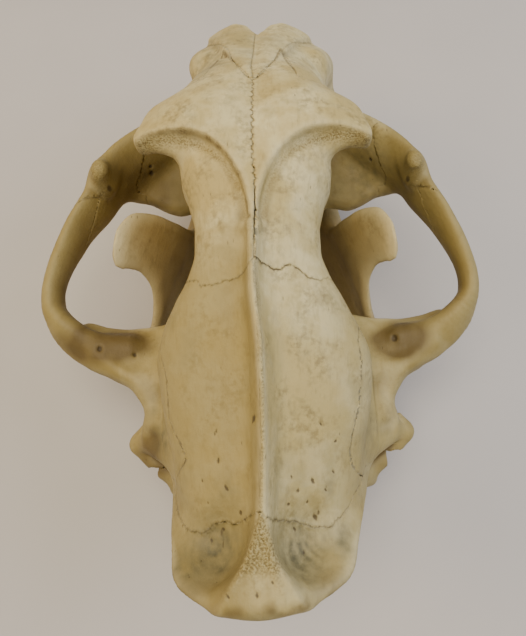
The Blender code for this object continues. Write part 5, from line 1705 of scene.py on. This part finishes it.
def enamel_finish():
    material, tree = blank("dry_tooth_enamel")
    place = add(tree, "TexCoord").outputs["Object"]
    crown = add(tree, "Attribute", attribute_name="crown").outputs["Fac"]
    cloud = add(tree, "TexNoise", {"Vector": place, "Scale": PER_METRE / 3, "Detail": 3.0}).outputs["Fac"]
    tall = add(tree, "Mapping", {"Vector": place, "Scale": (1.0, 1.0, .12)}).outputs[0]
    lines = add(tree, "TexNoise", {"Vector": tall, "Scale": PER_METRE / .9, "Detail": 4.0}).outputs["Fac"]
    height = add(tree, "MapRange", {"Value": crown, "From Min": .35, "From Max": .75}).outputs[0]
    ivory = add(tree, "Mix", {0: height, 6: linear("#B99A63"), 7: linear("#E6DCC2")}, data_type="RGBA")
    hair = add(tree, "MapRange", {"Value": lines, "From Min": .60, "From Max": .66, "To Max": .4})
    colour = add(tree, "Mix", {0: hair.outputs[0], 6: ivory.outputs[2], 7: linear("#8C6F43")},
                 data_type="RGBA").outputs[2]
    rough = add(tree, "MapRange", {"Value": cloud, "To Min": .22, "To Max": .38}).outputs[0]
    bump = add(tree, "Bump", {"Height": lines, "Strength": .12, "Distance": .0002})
    shader = add(tree, "BsdfPrincipled", {"Base Color": colour, "Roughness": rough, "IOR": 1.6,
                                          "Normal": bump.outputs[0]})
    add(tree, "OutputMaterial", {"Surface": shader.outputs[0]})
    return material


enamel = enamel_finish()
for obj in teeth:
    obj.data.materials.append(enamel)
print("enamel on", len(teeth), "teeth")

# %% [markdown]
# ## Table and light
# The skull lies on a plain pale table. The photograph's light is mixed: a warm lamp reaches it from
# its left, and cooler window light from its right. Large area lights give the same soft shadows.

# %% Table
TABLE_HALF = 1.6            # metres
TABLE_DROP = 0.0001         # metres, so that it doesn't flicker against the jaw's flat foot


def make_table():
    material, tree = blank("painted_table")
    place = add(tree, "TexCoord").outputs["Object"]
    cloud = add(tree, "TexNoise", {"Vector": place, "Scale": 14.0, "Detail": 4.0}).outputs["Fac"]
    tone = add(tree, "Mix", {0: cloud, 6: linear("#BFBAB7"), 7: linear("#C9C4C2")}, data_type="RGBA")
    shader = add(tree, "BsdfPrincipled", {"Base Color": tone.outputs[2], "Roughness": .7})
    add(tree, "OutputMaterial", {"Surface": shader.outputs[0]})
    x = TABLE_HALF * np.array([-1, -1, 1, 1])
    y = TABLE_HALF * np.array([-1, 1, -1, 1])
    mesh = bpy.data.meshes.new("table")
    mesh.from_pydata(np.stack([x, y, 0 * x - TABLE_DROP], 1).tolist(), [], [(0, 2, 3, 1)])
    obj = bpy.data.objects.new("table", mesh)
    bpy.context.scene.collection.objects.link(obj)
    mesh.materials.append(material)
    return obj


table = make_table()
print("table", [round(v, 1) for v in table.dimensions], "m")

# %% Lights


def area_light(name, place, size, watts, colour):
    data = bpy.data.lights.new(name, "AREA")
    data.shape, data.size, data.energy = "DISK", size, watts
    data.color = linear(colour)[:3]
    obj = bpy.data.objects.new(name, data)
    bpy.context.scene.collection.objects.link(obj)
    aim = Vector((0, 0, .05)) - Vector(place)
    obj.matrix_world = Matrix.Translation(place) @ aim.to_track_quat("-Z", "Y").to_matrix().to_4x4()


area_light("warm_lamp_left", (.8, -.1, .6), .55, 3.6, "#FFDFA0")
area_light("window_right", (-.85, -.1, .65), .8, 6.0, "#DCE8FF")
area_light("room_above", (.05, .1, 1.3), .9, 14.5, "#FFF3DA")
world = bpy.context.scene.world or bpy.data.worlds.new("room")
bpy.context.scene.world = world
world.use_nodes = True
backdrop = world.node_tree.nodes["Background"]
backdrop.inputs["Color"].default_value = linear("#E8E6E6")
backdrop.inputs["Strength"].default_value = .28
print("three soft lights and a pale room")
